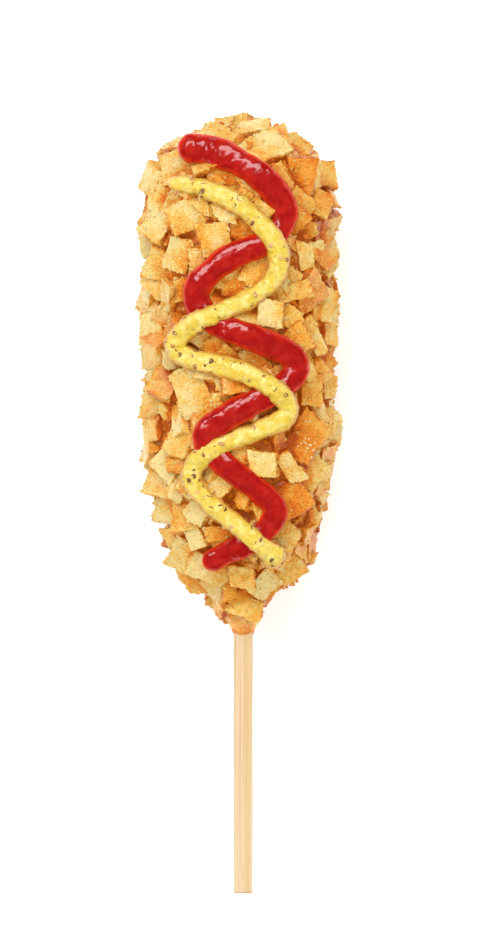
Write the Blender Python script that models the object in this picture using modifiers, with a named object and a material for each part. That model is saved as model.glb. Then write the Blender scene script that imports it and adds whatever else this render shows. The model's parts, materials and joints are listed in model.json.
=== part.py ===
"""A potato corn dog lying down, with its sauces up.

A square wooden stick runs into a fried batter body. Potato dice cover the
batter from the crown to the neck, and a line of ketchup and a line of grain
mustard zigzag over them. Everything is in metres. +Y runs from the stick to
the crown, +Z is up, and the dog lies on the plane z = 0.

The pieces are modelled round the body's own axis, which is the Y axis at
z = 0, and hang from one empty that lifts them to their place over the table.
"""

import math
import random

import bmesh
import bpy
from mathutils import Matrix, Vector

MM = 0.001

# The gap that neighbouring solids keep between their faces.
GAP = 0.3 * MM

# The body's axis runs this high over the table, which presses the dice flat.
AXIS_HEIGHT = 24.3 * MM

# Stick: a square bar whose far end stops inside the body.
STICK_WIDTH = 5.2 * MM
STICK_HEIGHT = 4.8 * MM
STICK_LENGTH = 180.0 * MM
STICK_END_Y = -109.4 * MM
STICK_X = 0.8 * MM
STICK_EDGE = 0.35 * MM

# Batter stations in mm: along Y, radius, and how square the section is.
# A squareness of 2 is a circle, and a larger one is nearer the stick's shape.
BATTER_STATIONS = (
    (98.8, 5.0, 2.0),
    (97.4, 11.4, 2.0),
    (94.2, 15.9, 2.0),
    (89.4, 18.8, 2.0),
    (81.0, 20.4, 2.0),
    (60.0, 20.7, 2.0),
    (40.0, 20.7, 2.0),
    (14.0, 19.6, 2.0),
    (-5.0, 16.6, 2.0),
    (-14.0, 13.8, 2.1),
    (-21.0, 10.2, 2.4),
    (-27.0, 6.9, 3.0),
    (-32.0, 4.9, 4.0),
    (-37.0, 3.7, 5.0),
)
BATTER_RINGS = 17
BODY_SIDES = 24
BATTER_TIP = 1.2 * MM

# Potato coat: a crust on the batter, out of which the dice stand.
CRUST_DEPTH = 4.0 * MM
COAT_END_Y = -22.0 * MM
DICE_SEED = 11
DICE_PITCH = 12.3 * MM
DICE_JITTER = 0.22
DICE_LIFT = (-0.6 * MM, 1.2 * MM)
DICE_TILT = math.radians(24.0)
ROW_STEP = 0.5 * MM
# Each cut of potato: length, width and depth in mm, and how often it comes.
DICE_CUTS = (
    ((10.4, 9.0, 6.2), 5),
    ((12.0, 9.4, 4.8), 5),
    ((12.8, 6.4, 5.4), 3),
    ((8.0, 6.8, 5.4), 2),
)
DICE_SIZE_SPREAD = 0.12

# Skin stations in mm: along Y, and how far out the sauces lie on the dice.
SKIN_STATIONS = (
    (107.6, 6.0),
    (106.4, 13.0),
    (103.2, 18.0),
    (98.8, 22.0),
    (94.0, 24.8),
    (86.0, 26.6),
    (40.0, 26.8),
    (14.0, 25.8),
    (-5.0, 23.0),
    (-14.0, 19.8),
    (-20.0, 17.2),
    (-26.0, 10.5),
)

# Sauce lines in mm: across X, along Y, and half the bead's width.
KETCHUP_LINE = (
    (-14.0, 99.8, 3.9),
    (-7.0, 98.6, 3.9),
    (3.4, 93.2, 3.7),
    (10.4, 86.5, 3.8),
    (12.3, 80.5, 3.8),
    (8.4, 73.8, 3.5),
    (-2.2, 69.2, 3.8),
    (-10.0, 63.2, 3.8),
    (-12.2, 57.5, 3.6),
    (-7.5, 51.0, 3.4),
    (4.2, 46.2, 3.6),
    (13.4, 42.2, 3.8),
    (15.7, 37.4, 3.7),
    (10.0, 31.8, 3.5),
    (-3.9, 24.4, 3.7),
    (-9.6, 18.9, 3.6),
    (-5.5, 12.3, 3.3),
    (5.5, 3.6, 3.4),
    (9.9, -1.8, 3.3),
    (5.2, -8.8, 3.2),
    (-3.6, -13.3, 3.5),
    (-7.8, -15.0, 3.5),
)
MUSTARD_LINE = (
    (-17.9, 89.7, 2.6),
    (-9.8, 88.1, 2.9),
    (-1.4, 84.4, 2.8),
    (4.5, 79.4, 2.9),
    (9.0, 74.1, 3.1),
    (10.9, 69.0, 3.1),
    (9.5, 63.1, 3.0),
    (4.8, 58.9, 2.8),
    (-2.5, 55.0, 2.7),
    (-11.2, 51.4, 2.8),
    (-16.8, 47.2, 3.0),
    (-17.6, 43.3, 3.0),
    (-13.7, 40.7, 2.9),
    (-5.6, 38.8, 2.7),
    (2.2, 36.3, 2.8),
    (9.0, 32.6, 3.0),
    (13.2, 28.1, 3.0),
    (12.3, 24.2, 2.9),
    (6.2, 21.4, 2.8),
    (-2.5, 17.8, 2.7),
    (-9.8, 13.9, 2.8),
    (-13.2, 9.9, 2.8),
    (-12.9, 5.5, 2.8),
    (-8.1, 0.1, 2.7),
    (-0.8, -5.7, 2.7),
    (4.5, -10.8, 2.8),
    (9.2, -14.4, 3.3),
)
SAUCE_STEP = 3.6 * MM
SAUCE_BEVEL_RESOLUTION = 2
# How far over the skin a bead's own middle lies, as a share of its half width.
KETCHUP_RISE = 0.16
MUSTARD_RISE = 0.19
# Where the mustard nears the ketchup it climbs over it.
CROSSING_REACH = 8.0 * MM
CROSSING_RISE = 3.2 * MM
# A bead of sauce on the steep side of the body stays at least this high.
STEEPEST_SHARE = 0.3

# How finely a line of points is read before it is spaced out evenly.
SPLINE_SPANS = 12
# A weld only joins points that are already in one place.
WELD = 0.001 * MM
# Edges that turn more than this stay sharp.
SHARP_ANGLE = math.radians(40.0)
TABLE_REACH = 0.2


def clear_scene():
    for old in list(bpy.data.objects):
        bpy.data.objects.remove(old, do_unlink=True)


def new_collection(name):
    made = bpy.data.collections.new(name)
    bpy.context.scene.collection.children.link(made)
    return made


def new_material(name, colour, roughness):
    made = bpy.data.materials.new(name)
    made.use_nodes = True
    shader = made.node_tree.nodes["Principled BSDF"]
    shader.inputs["Base Color"].default_value = (*colour, 1.0)
    shader.inputs["Roughness"].default_value = roughness
    shader.inputs["Metallic"].default_value = 0.0
    return made


def add_object(name, bm, collection):
    """An object in a collection, with its mesh from a BMesh."""
    mesh = bpy.data.meshes.new(name)
    bm.to_mesh(mesh)
    bm.free()
    made = bpy.data.objects.new(name, mesh)
    collection.objects.link(made)
    return made


def as_cutter(obj):
    """Hides an object that only cuts or joins."""
    obj.hide_render = True
    obj.display_type = "WIRE"
    return obj


def add_boolean(target, cutter, operation, use_self=False):
    modifier = target.modifiers.new(operation.lower() + "_" + cutter.name, "BOOLEAN")
    modifier.operation = operation
    modifier.solver = "EXACT"
    modifier.use_self = use_self
    modifier.object = cutter


def evaluated_bmesh(obj):
    """A BMesh of an object as its modifiers leave it."""
    bpy.context.view_layer.update()
    evaluated = obj.evaluated_get(bpy.context.evaluated_depsgraph_get())
    mesh = bpy.data.meshes.new_from_object(evaluated)
    bm = bmesh.new()
    bm.from_mesh(mesh)
    bpy.data.meshes.remove(mesh)
    return bm


def add_box(name, low, high, collection):
    low, high = Vector(low), Vector(high)
    middle = Matrix.Translation((low + high) / 2)
    bm = bmesh.new()
    bmesh.ops.create_cube(bm, size=1.0, matrix=middle @ Matrix.Diagonal((*(high - low), 1.0)))
    return add_object(name, bm, collection)


def smooth_line(points):
    """Points on the Catmull-Rom curve through points of any width."""
    ends = [points[0], *points, points[-1]]
    line = []
    for before, start, end, after in zip(ends, ends[1:], ends[2:], ends[3:]):
        for span in range(SPLINE_SPANS):
            t = span / SPLINE_SPANS
            line.append(
                tuple(
                    b
                    + 0.5 * t * (c - a)
                    + 0.5 * t**2 * (2 * a - 5 * b + 4 * c - d)
                    + 0.5 * t**3 * (3 * b - a - 3 * c + d)
                    for a, b, c, d in zip(before, start, end, after)
                )
            )
    line.append(tuple(points[-1]))
    return line


def spaced_line(points, step):
    """Points about a step apart along a smooth line, both ends kept."""
    line = smooth_line(points)
    kept, travelled = [line[0]], 0.0
    for here, there in zip(line, line[1:]):
        travelled += math.dist(here[:2], there[:2])
        if travelled >= step:
            kept.append(there)
            travelled = 0.0
    kept[-1] = line[-1]
    return kept


def in_metres(points):
    return [tuple(value * MM for value in point) for point in points]


def radius_at(stations, y):
    """The radius at a distance along the body, from stations in mm."""
    for upper, lower in zip(stations, stations[1:]):
        if lower[0] * MM <= y <= upper[0] * MM:
            share = (y - lower[0] * MM) / ((upper[0] - lower[0]) * MM)
            return (lower[1] + share * (upper[1] - lower[1])) * MM
    nearest = stations[0] if y > stations[0][0] * MM else stations[-1]
    return nearest[1] * MM


def batter_profile():
    """The batter's rings as (y, radius, squareness), crown first."""
    stations = [(y * MM, radius * MM, square) for y, radius, square in BATTER_STATIONS]
    length = sum(math.dist(a[:2], b[:2]) for a, b in zip(stations, stations[1:]))
    return spaced_line(stations, length / BATTER_RINGS)


def grown(profile, by):
    """The rings with every radius larger, for a coat or a clearance."""
    return [(y, radius + by, square) for y, radius, square in profile]


def section_point(y, radius, squareness, angle):
    """A point of a superellipse ring, which moves onto the stick as it squares."""
    c, s = math.cos(angle), math.sin(angle)
    reach = radius / (abs(c) ** squareness + abs(s) ** squareness) ** (1 / squareness)
    shift = STICK_X * min(1.0, (squareness - 2.0) / 2.0)
    return Vector((shift + reach * c, y, reach * s))


def add_body(name, profile, tip, collection):
    """A closed loft through the rings, whose crown stands a tip beyond the first."""
    bm = bmesh.new()
    angles = [2 * math.pi * side / BODY_SIDES for side in range(BODY_SIDES)]
    rings = [
        [bm.verts.new(section_point(y, radius, square, angle)) for angle in angles]
        for y, radius, square in profile
    ]
    for upper, lower in zip(rings, rings[1:]):
        for side in range(BODY_SIDES):
            after = (side + 1) % BODY_SIDES
            bm.faces.new((upper[side], upper[after], lower[after], lower[side]))
    crown = bm.verts.new((0.0, profile[0][0] + tip, 0.0))
    for side in range(BODY_SIDES):
        bm.faces.new((crown, rings[0][(side + 1) % BODY_SIDES], rings[0][side]))
    bm.faces.new(rings[-1])
    bmesh.ops.recalc_face_normals(bm, faces=bm.faces)
    return add_object(name, bm, collection)


def dice_rows():
    """How far along the body each row of dice lies, a pitch apart on the batter."""
    y, last = BATTER_STATIONS[0][0] * MM, COAT_END_Y
    rows, travelled = [], DICE_PITCH
    while y > last:
        if travelled >= DICE_PITCH:
            rows.append(y)
            travelled = 0.0
        drop = radius_at(BATTER_STATIONS, y) - radius_at(BATTER_STATIONS, y - ROW_STEP)
        travelled += math.hypot(ROW_STEP, drop)
        y -= ROW_STEP
    return rows


def crust_place(y, angle, lift):
    """A place a lift over the crust, with its outward direction along local Z."""
    before = radius_at(BATTER_STATIONS, y - 4 * ROW_STEP)
    after = radius_at(BATTER_STATIONS, y + 4 * ROW_STEP)
    slope = math.atan2(before - after, 8 * ROW_STEP)
    flat = math.cos(slope)
    out = Vector((math.cos(angle) * flat, math.sin(slope), math.sin(angle) * flat))
    around = Vector((-math.sin(angle), 0.0, math.cos(angle)))
    along = out.cross(around)
    foot = section_point(y, radius_at(BATTER_STATIONS, y), 2.0, angle)
    turn = Matrix((around, along, out)).transposed().to_4x4()
    return Matrix.Translation(foot + out * (CRUST_DEPTH + lift)) @ turn


def add_dice(collection):
    """Every die of potato as a tilted box, seeded, in rows round the body."""
    rng = random.Random(DICE_SEED)
    cuts = [cut for cut, _ in DICE_CUTS]
    often = [count for _, count in DICE_CUTS]
    bm = bmesh.new()
    for row, row_y in enumerate(dice_rows()):
        girth = 2 * math.pi * (radius_at(BATTER_STATIONS, row_y) + CRUST_DEPTH)
        count = max(3, round(girth / DICE_PITCH))
        for turn in range(count):
            cut = rng.choices(cuts, often)[0]
            spread = (1 - DICE_SIZE_SPREAD, 1 + DICE_SIZE_SPREAD)
            size = [side * MM * rng.uniform(*spread) for side in cut]
            step = turn + 0.5 * (row % 2) + rng.uniform(-DICE_JITTER, DICE_JITTER)
            y = row_y + rng.uniform(-DICE_JITTER, DICE_JITTER) * DICE_PITCH
            place = crust_place(y, 2 * math.pi * step / count, rng.uniform(*DICE_LIFT))
            spin = Matrix.Rotation(rng.uniform(0, 2 * math.pi), 4, "Z")
            tilt_x = Matrix.Rotation(rng.uniform(-DICE_TILT, DICE_TILT), 4, "X")
            tilt_y = Matrix.Rotation(rng.uniform(-DICE_TILT, DICE_TILT), 4, "Y")
            die = place @ spin @ tilt_x @ tilt_y @ Matrix.Diagonal((*size, 1.0))
            bmesh.ops.create_cube(bm, size=1.0, matrix=die)
    return as_cutter(add_object("dice", bm, collection))


def skin_height(x, y):
    """How high the dice reach over the body's axis."""
    reach = radius_at(SKIN_STATIONS, y)
    return math.sqrt(max(reach**2 - x**2, (STEEPEST_SHARE * reach) ** 2))


def ketchup_path():
    """Points and half widths along the middle of the ketchup."""
    return [
        (Vector((x, y, skin_height(x, y) + KETCHUP_RISE * half)), half)
        for x, y, half in spaced_line(in_metres(KETCHUP_LINE), SAUCE_STEP)
    ]


def mustard_path(under):
    """As the ketchup's path, but it climbs over the line under it."""
    path = []
    for x, y, half in spaced_line(in_metres(MUSTARD_LINE), SAUCE_STEP):
        nearest = min(math.dist((x, y), point.xy) for point, _ in under)
        near = max(0.0, 1.0 - nearest / CROSSING_REACH)
        rise = CROSSING_RISE * near * near * (3 - 2 * near)
        height = skin_height(x, y) + MUSTARD_RISE * half + rise
        path.append((Vector((x, y, height)), half))
    return path


def round_ended(path):
    """The path with points that close each end of the bead in half a ball."""
    latitudes = [math.radians(degrees) for degrees in (28, 54, 76)]
    caps = []
    for (tip, half), (inner, _) in ((path[0], path[1]), (path[-1], path[-2])):
        outward = (tip - inner).normalized()
        caps.append(
            [(tip + outward * half * math.sin(a), half * math.cos(a)) for a in latitudes]
        )
    return caps[0][::-1] + path + caps[1]


def add_bead(name, path, extra, collection):
    """A closed bead of sauce along a path, or its room with something extra."""
    points = round_ended([(point, half + extra) for point, half in path])
    curve = bpy.data.curves.new(name, "CURVE")
    curve.dimensions = "3D"
    curve.bevel_depth = 1.0
    curve.bevel_resolution = SAUCE_BEVEL_RESOLUTION
    curve.use_fill_caps = True
    line = curve.splines.new("POLY")
    line.points.add(len(points) - 1)
    for target, (point, half) in zip(line.points, points):
        target.co = (*point, 1.0)
        target.radius = half
    drawn = bpy.data.objects.new(name + "_curve", curve)
    collection.objects.link(drawn)
    bm = evaluated_bmesh(drawn)
    bpy.data.objects.remove(drawn, do_unlink=True)
    bmesh.ops.remove_doubles(bm, verts=bm.verts, dist=WELD)
    bmesh.ops.recalc_face_normals(bm, faces=bm.faces)
    return add_object(name, bm, collection)


def add_stick_bar(name, extra, collection):
    """The stick's bar, or with something extra the hole that it sits in."""
    half_width = STICK_WIDTH / 2 + extra
    half_height = STICK_HEIGHT / 2 + extra
    low = (STICK_X - half_width, STICK_END_Y, -half_height)
    high = (STICK_X + half_width, STICK_END_Y + STICK_LENGTH + extra, half_height)
    return add_box(name, low, high, collection)


def drop_chips(obj):
    """Applies the cuts and drops any chip of potato that they leave loose."""
    bm = evaluated_bmesh(obj)
    waiting, islands = set(bm.verts), []
    while waiting:
        island, stack = set(), [waiting.pop()]
        while stack:
            vert = stack.pop()
            island.add(vert)
            joined = {edge.other_vert(vert) for edge in vert.link_edges} & waiting
            waiting -= joined
            stack.extend(joined)
        islands.append(island)
    largest = max(islands, key=len)
    chips = [vert for vert in bm.verts if vert not in largest]
    bmesh.ops.delete(bm, geom=chips, context="VERTS")
    obj.modifiers.clear()
    bm.to_mesh(obj.data)
    bm.free()


def build_stick(parts):
    stick = add_stick_bar("stick", 0.0, parts)
    edges = stick.modifiers.new("edges", "BEVEL")
    edges.width = STICK_EDGE
    edges.segments = 1
    return stick


def build_batter(parts, cutters):
    """The fried core and its neck, with the hole for the stick."""
    batter = add_body("batter", batter_profile(), BATTER_TIP, parts)
    hole = as_cutter(add_stick_bar("stick_hole", GAP, cutters))
    add_boolean(batter, hole, "DIFFERENCE")
    return batter


def build_sauces(parts, cutters):
    """The two beads, and the rooms that they need in what lies under them."""
    lower = ketchup_path()
    upper = mustard_path(lower)
    ketchup = add_bead("ketchup", lower, 0.0, parts)
    mustard = add_bead("mustard", upper, 0.0, parts)
    ketchup_room = as_cutter(add_bead("ketchup_room", lower, GAP, cutters))
    mustard_room = as_cutter(add_bead("mustard_room", upper, GAP, cutters))
    add_boolean(ketchup, mustard_room, "DIFFERENCE")
    return ketchup, mustard, (ketchup_room, mustard_room)


def build_coat(parts, cutters, rooms):
    """The crust and its dice, hollow round the batter and flat where it lies."""
    profile = batter_profile()
    covered = [ring for ring in profile if ring[0] > COAT_END_Y]
    coat = add_body("potato_coat", grown(covered, CRUST_DEPTH), CRUST_DEPTH, parts)
    add_boolean(coat, add_dice(cutters), "UNION", use_self=True)
    clearance = add_body("batter_room", grown(profile, GAP), BATTER_TIP + GAP, cutters)
    add_boolean(coat, as_cutter(clearance), "DIFFERENCE")
    for room in rooms:
        add_boolean(coat, room, "DIFFERENCE")
    low = (-TABLE_REACH, -TABLE_REACH, -TABLE_REACH)
    high = (TABLE_REACH, TABLE_REACH, -AXIS_HEIGHT)
    add_boolean(coat, as_cutter(add_box("table", low, high, cutters)), "DIFFERENCE")
    drop_chips(coat)
    return coat


def hang_on_empty(pieces, cutters, collection):
    """Puts the pieces on the table, with the middle of their box at the origin."""
    bpy.context.view_layer.update()
    graph = bpy.context.evaluated_depsgraph_get()
    corners = [
        Vector(corner) for piece in pieces for corner in piece.evaluated_get(graph).bound_box
    ]
    middle = [
        (min(corner[axis] for corner in corners) + max(corner[axis] for corner in corners)) / 2
        for axis in range(2)
    ]
    empty = bpy.data.objects.new("corn_dog_place", None)
    collection.objects.link(empty)
    empty.location = (-middle[0], -middle[1], AXIS_HEIGHT)
    for hung in (*pieces, *cutters.objects):
        hung.parent = empty


def finish(obj, surface):
    obj.data.materials.append(surface)
    obj.data.shade_smooth()
    obj.data.set_sharp_from_angle(angle=SHARP_ANGLE)


def main():
    clear_scene()
    parts = new_collection("corn_dog")
    cutters = new_collection("cutters")

    stick = build_stick(parts)
    batter = build_batter(parts, cutters)
    ketchup, mustard, rooms = build_sauces(parts, cutters)
    coat = build_coat(parts, cutters, rooms)
    hang_on_empty((stick, batter, ketchup, mustard, coat), cutters, parts)

    finish(stick, new_material("stick_wood", (0.80, 0.58, 0.33), 0.6))
    finish(batter, new_material("fried_batter", (0.62, 0.27, 0.07), 0.45))
    finish(coat, new_material("fried_potato", (0.86, 0.55, 0.20), 0.5))
    finish(ketchup, new_material("ketchup", (0.50, 0.02, 0.015), 0.15))
    finish(mustard, new_material("grain_mustard", (0.83, 0.66, 0.14), 0.35))


main()
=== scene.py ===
"""A potato corn dog on its stick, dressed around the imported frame.

The dog lies on a pale table with its sauces up. The frame gives the place and
the size of the batter, the coat, the two sauces and the stick, and each class
here makes one of them as it really looks. Lengths are in millimetres while a
piece is being shaped, and its mesh is then written in metres.
"""

import json
import logging
import math
import random
from dataclasses import dataclass
from enum import Enum
from typing import Any, Iterable, Sequence

import bmesh
import bpy
import numpy as np
from mathutils import Euler, Matrix, Vector, noise
from mathutils.bvhtree import BVHTree

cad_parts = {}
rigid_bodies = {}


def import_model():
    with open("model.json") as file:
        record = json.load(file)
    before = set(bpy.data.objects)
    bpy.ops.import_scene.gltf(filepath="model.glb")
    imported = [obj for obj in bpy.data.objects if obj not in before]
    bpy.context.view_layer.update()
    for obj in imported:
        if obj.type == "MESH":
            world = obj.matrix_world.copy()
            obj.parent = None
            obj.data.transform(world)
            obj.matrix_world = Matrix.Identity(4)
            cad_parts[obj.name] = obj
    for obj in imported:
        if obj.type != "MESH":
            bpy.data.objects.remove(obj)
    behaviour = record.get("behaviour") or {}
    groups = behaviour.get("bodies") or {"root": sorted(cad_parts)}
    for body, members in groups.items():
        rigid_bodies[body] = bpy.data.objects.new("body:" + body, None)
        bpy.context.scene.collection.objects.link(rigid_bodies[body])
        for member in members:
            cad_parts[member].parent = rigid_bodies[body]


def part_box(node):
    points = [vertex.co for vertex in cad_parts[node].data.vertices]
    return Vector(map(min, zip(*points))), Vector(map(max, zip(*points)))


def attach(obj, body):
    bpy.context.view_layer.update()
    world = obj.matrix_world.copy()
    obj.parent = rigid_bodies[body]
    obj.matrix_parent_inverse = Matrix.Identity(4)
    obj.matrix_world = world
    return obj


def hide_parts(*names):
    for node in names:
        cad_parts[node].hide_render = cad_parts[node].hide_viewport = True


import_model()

log = logging.getLogger("corn_dog")

MM = 0.001
ROOT = "root"


# --------------------------------------------------------------------------
# Node trees
# --------------------------------------------------------------------------


class Wire:
    """A node's output socket, which can be used in sums."""

    def __init__(self, tree: "Tree", socket: bpy.types.NodeSocket) -> None:
        """Keeps the tree that new Math nodes go into.

        Args:
            tree: The tree that the socket is in.
            socket: The output socket itself.
        """
        self.tree = tree
        self.socket = socket

    def out(self, name: str) -> "Wire":
        """Another output of the same node, by name."""
        return Wire(self.tree, self.socket.node.outputs[name])

    def _sum(self, operation: str, first: Any, second: Any) -> "Wire":
        """A Math node on two values or wires."""
        return self.tree.add("ShaderNodeMath", {"operation": operation}, {0: first, 1: second})

    def __add__(self, other: Any) -> "Wire":
        """self + other."""
        return self._sum("ADD", self, other)

    __radd__ = __add__

    def __sub__(self, other: Any) -> "Wire":
        """self - other."""
        return self._sum("SUBTRACT", self, other)

    def __rsub__(self, other: Any) -> "Wire":
        """other - self."""
        return self._sum("SUBTRACT", other, self)

    def __mul__(self, other: Any) -> "Wire":
        """self * other."""
        return self._sum("MULTIPLY", self, other)

    __rmul__ = __mul__

    def __pow__(self, other: Any) -> "Wire":
        """self ** other."""
        return self._sum("POWER", self, other)

    def clamped(self) -> "Wire":
        """The value kept from 0 to 1."""
        return self.tree.add("ShaderNodeClamp", {}, {"Value": self})


class Tree:
    """Builds nodes of any type in a shader tree or a geometry tree."""

    def __init__(self, tree: bpy.types.NodeTree) -> None:
        """Keeps the tree that nodes are added to."""
        self.tree = tree

    def add(self, kind: str, settings: dict[str, Any], sockets: dict[Any, Any]) -> Wire:
        """Adds one node.

        Args:
            kind: The node's type name.
            settings: The node's own properties, set before its sockets. A
                colour ramp takes its stops as (position, colour) pairs.
            sockets: Values or wires, by input name or number.

        Returns:
            The wire of the node's first output in use.
        """
        made = self.tree.nodes.new(kind)
        for name, value in settings.items():
            if name == "stops":
                self._set_stops(made.color_ramp, value)
            else:
                setattr(made, name, value)
        for name, value in sockets.items():
            if isinstance(value, Wire):
                self.tree.links.new(value.socket, made.inputs[name])
            else:
                made.inputs[name].default_value = value
        outputs = [socket for socket in made.outputs if socket.enabled]
        return Wire(self, outputs[0] if outputs else None)

    @staticmethod
    def _set_stops(ramp: bpy.types.ColorRamp, stops: Sequence[tuple]) -> None:
        """Gives a colour ramp its stops, first to last."""
        while len(ramp.elements) < len(stops):
            ramp.elements.new(1.0)
        for element, (position, colour) in zip(ramp.elements, stops):
            element.position = position
            element.color = colour


def linear(code: str) -> tuple[float, float, float, float]:
    """A hex colour as the linear RGBA that sockets take."""
    channels = [int(code[i : i + 2], 16) / 255 for i in (0, 2, 4)]
    low = [c / 12.92 if c <= 0.04045 else ((c + 0.055) / 1.055) ** 2.4 for c in channels]
    return (*low, 1.0)


class ShaderTree(Tree):
    """A material's tree, with the few steps that every finish here takes."""

    def __init__(self, name: str) -> None:
        """Makes an empty material of that name."""
        self.material = bpy.data.materials.new(name)
        self.material.use_nodes = True
        super().__init__(self.material.node_tree)
        self.tree.nodes.clear()
        self.place = self.add("ShaderNodeTexCoord", {}, {}).out("Object")

    def grain(self, size: float, detail: float = 3.0, stretch: Sequence[float] = (1, 1, 1)) -> Wire:
        """Soft noise over the piece.

        Args:
            size: The pattern's size in millimetres.
            detail: How many finer octaves lie over it.
            stretch: How many times longer the pattern is along X, Y and Z.

        Returns:
            A value from 0 to 1, mostly near a half.
        """
        scale = [1 / (size * MM * times) for times in stretch]
        place = self.add("ShaderNodeMapping", {}, {"Vector": self.place, "Scale": scale})
        sockets = {"Vector": place, "Scale": 1.0, "Detail": detail, "Roughness": 0.55}
        return self.add("ShaderNodeTexNoise", {}, sockets)

    def cells(self, size: float, feature: str = "F1") -> Wire:
        """Distance in a Voronoi pattern whose cells are that many millimetres."""
        sockets = {"Vector": self.place, "Scale": 1 / (size * MM)}
        return self.add("ShaderNodeTexVoronoi", {"feature": feature}, sockets)

    def attribute(self, name: str) -> Wire:
        """A value that the mesh carries."""
        return self.add("ShaderNodeAttribute", {"attribute_name": name}, {}).out("Fac")

    def between(self, value: Wire, low: float, high: float) -> Wire:
        """A smooth step from 0 at low to 1 at high."""
        settings = {"interpolation_type": "SMOOTHSTEP"}
        sockets = {"Value": value, "From Min": low, "From Max": high}
        return self.add("ShaderNodeMapRange", settings, sockets)

    def blend(self, share: Any, under: Any, over: Any) -> Wire:
        """One colour over another, by a share from 0 to 1."""
        settings = {"data_type": "RGBA", "blend_type": "MIX"}
        return self.add("ShaderNodeMix", settings, {0: share, 6: under, 7: over})

    def bump(self, height: Wire, depth: float, strength: float = 1.0) -> Wire:
        """A normal from a height whose full range is some millimetres deep."""
        sockets = {"Height": height, "Distance": depth * MM, "Strength": strength}
        return self.add("ShaderNodeBump", {}, sockets)

    def finish(self, sockets: dict[str, Any]) -> bpy.types.Material:
        """Ends the tree in a Principled shader with these sockets."""
        shader = self.add("ShaderNodeBsdfPrincipled", {}, sockets)
        self.add("ShaderNodeOutputMaterial", {}, {"Surface": shader})
        return self.material


class GeometryTree(Tree):
    """A Geometry Nodes group with named inputs."""

    def __init__(self, name: str) -> None:
        """Makes an empty group that takes and gives a geometry."""
        super().__init__(bpy.data.node_groups.new(name, "GeometryNodeTree"))
        self.identifiers: dict[str, str] = {}
        face = self.tree.interface
        face.new_socket("Geometry", in_out="INPUT", socket_type="NodeSocketGeometry")
        face.new_socket("Geometry", in_out="OUTPUT", socket_type="NodeSocketGeometry")
        self.entry = self.tree.nodes.new("NodeGroupInput")

    def takes(self, name: str, kind: str) -> Wire:
        """Adds a named input and returns its wire."""
        socket = self.tree.interface.new_socket(name, in_out="INPUT", socket_type=kind)
        self.identifiers[name] = socket.identifier
        return Wire(self, self.entry.outputs[name])

    def geometry(self) -> Wire:
        """The geometry that comes in."""
        return Wire(self, self.entry.outputs["Geometry"])

    def named(self, name: str, kind: str) -> Wire:
        """A named attribute of the geometry."""
        return self.add("GeometryNodeInputNamedAttribute", {"data_type": kind}, {"Name": name})

    def random(self, kind: str, low: Any, high: Any, seed: Any) -> Wire:
        """A random value for each point, between two values of that kind."""
        first = {"FLOAT_VECTOR": 0, "FLOAT": 2, "INT": 4}[kind]
        made = self.tree.nodes.new("FunctionNodeRandomValue")
        made.data_type = kind
        for number, value in ((first, low), (first + 1, high), (8, seed)):
            if isinstance(value, Wire):
                self.tree.links.new(value.socket, made.inputs[number])
            else:
                made.inputs[number].default_value = value
        return Wire(self, next(socket for socket in made.outputs if socket.enabled))

    def scaled(self, vector: Wire, factor: Any) -> Wire:
        """A vector times a number."""
        return self.add("ShaderNodeVectorMath", {"operation": "SCALE"}, {0: vector, "Scale": factor})

    def instances(
        self, points: Wire, shapes: Wire, number: Wire, turn: Wire, size: Wire
    ) -> Wire:
        """One shape of a collection at each point.

        Args:
            points: Where they go.
            shapes: The collection.
            number: Which shape each point takes.
            turn: How each is turned.
            size: How large each is.

        Returns:
            The instances.
        """
        choice = self.add(
            "GeometryNodeCollectionInfo",
            {},
            {"Collection": shapes, "Separate Children": True, "Reset Children": True},
        )
        sockets = {
            "Points": points,
            "Instance": choice,
            "Pick Instance": True,
            "Instance Index": number,
            "Rotation": turn,
            "Scale": size,
        }
        return self.add("GeometryNodeInstanceOnPoints", {}, sockets)

    def gives_real(self, instances: Wire, finish: Wire) -> None:
        """Ends the group in the instances, made real, in one material."""
        real = self.add("GeometryNodeRealizeInstances", {}, {"Geometry": instances})
        done = self.add("GeometryNodeSetMaterial", {}, {"Geometry": real, "Material": finish})
        self.add("NodeGroupOutput", {}, {"Geometry": done})

    def run(self, source: bpy.types.Object, name: str, values: dict[str, Any]) -> bpy.types.Mesh:
        """The plain mesh that the group makes of an object.

        Args:
            source: The object whose mesh goes in. Its modifiers are removed.
            name: The new mesh's name.
            values: The group's named inputs.

        Returns:
            A mesh with its instances realized.
        """
        modifier = source.modifiers.new(name, "NODES")
        modifier.node_group = self.tree
        for input_name, value in values.items():
            modifier[self.identifiers[input_name]] = value
        mesh = evaluated_mesh(source, name)
        source.modifiers.remove(modifier)
        return mesh


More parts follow.
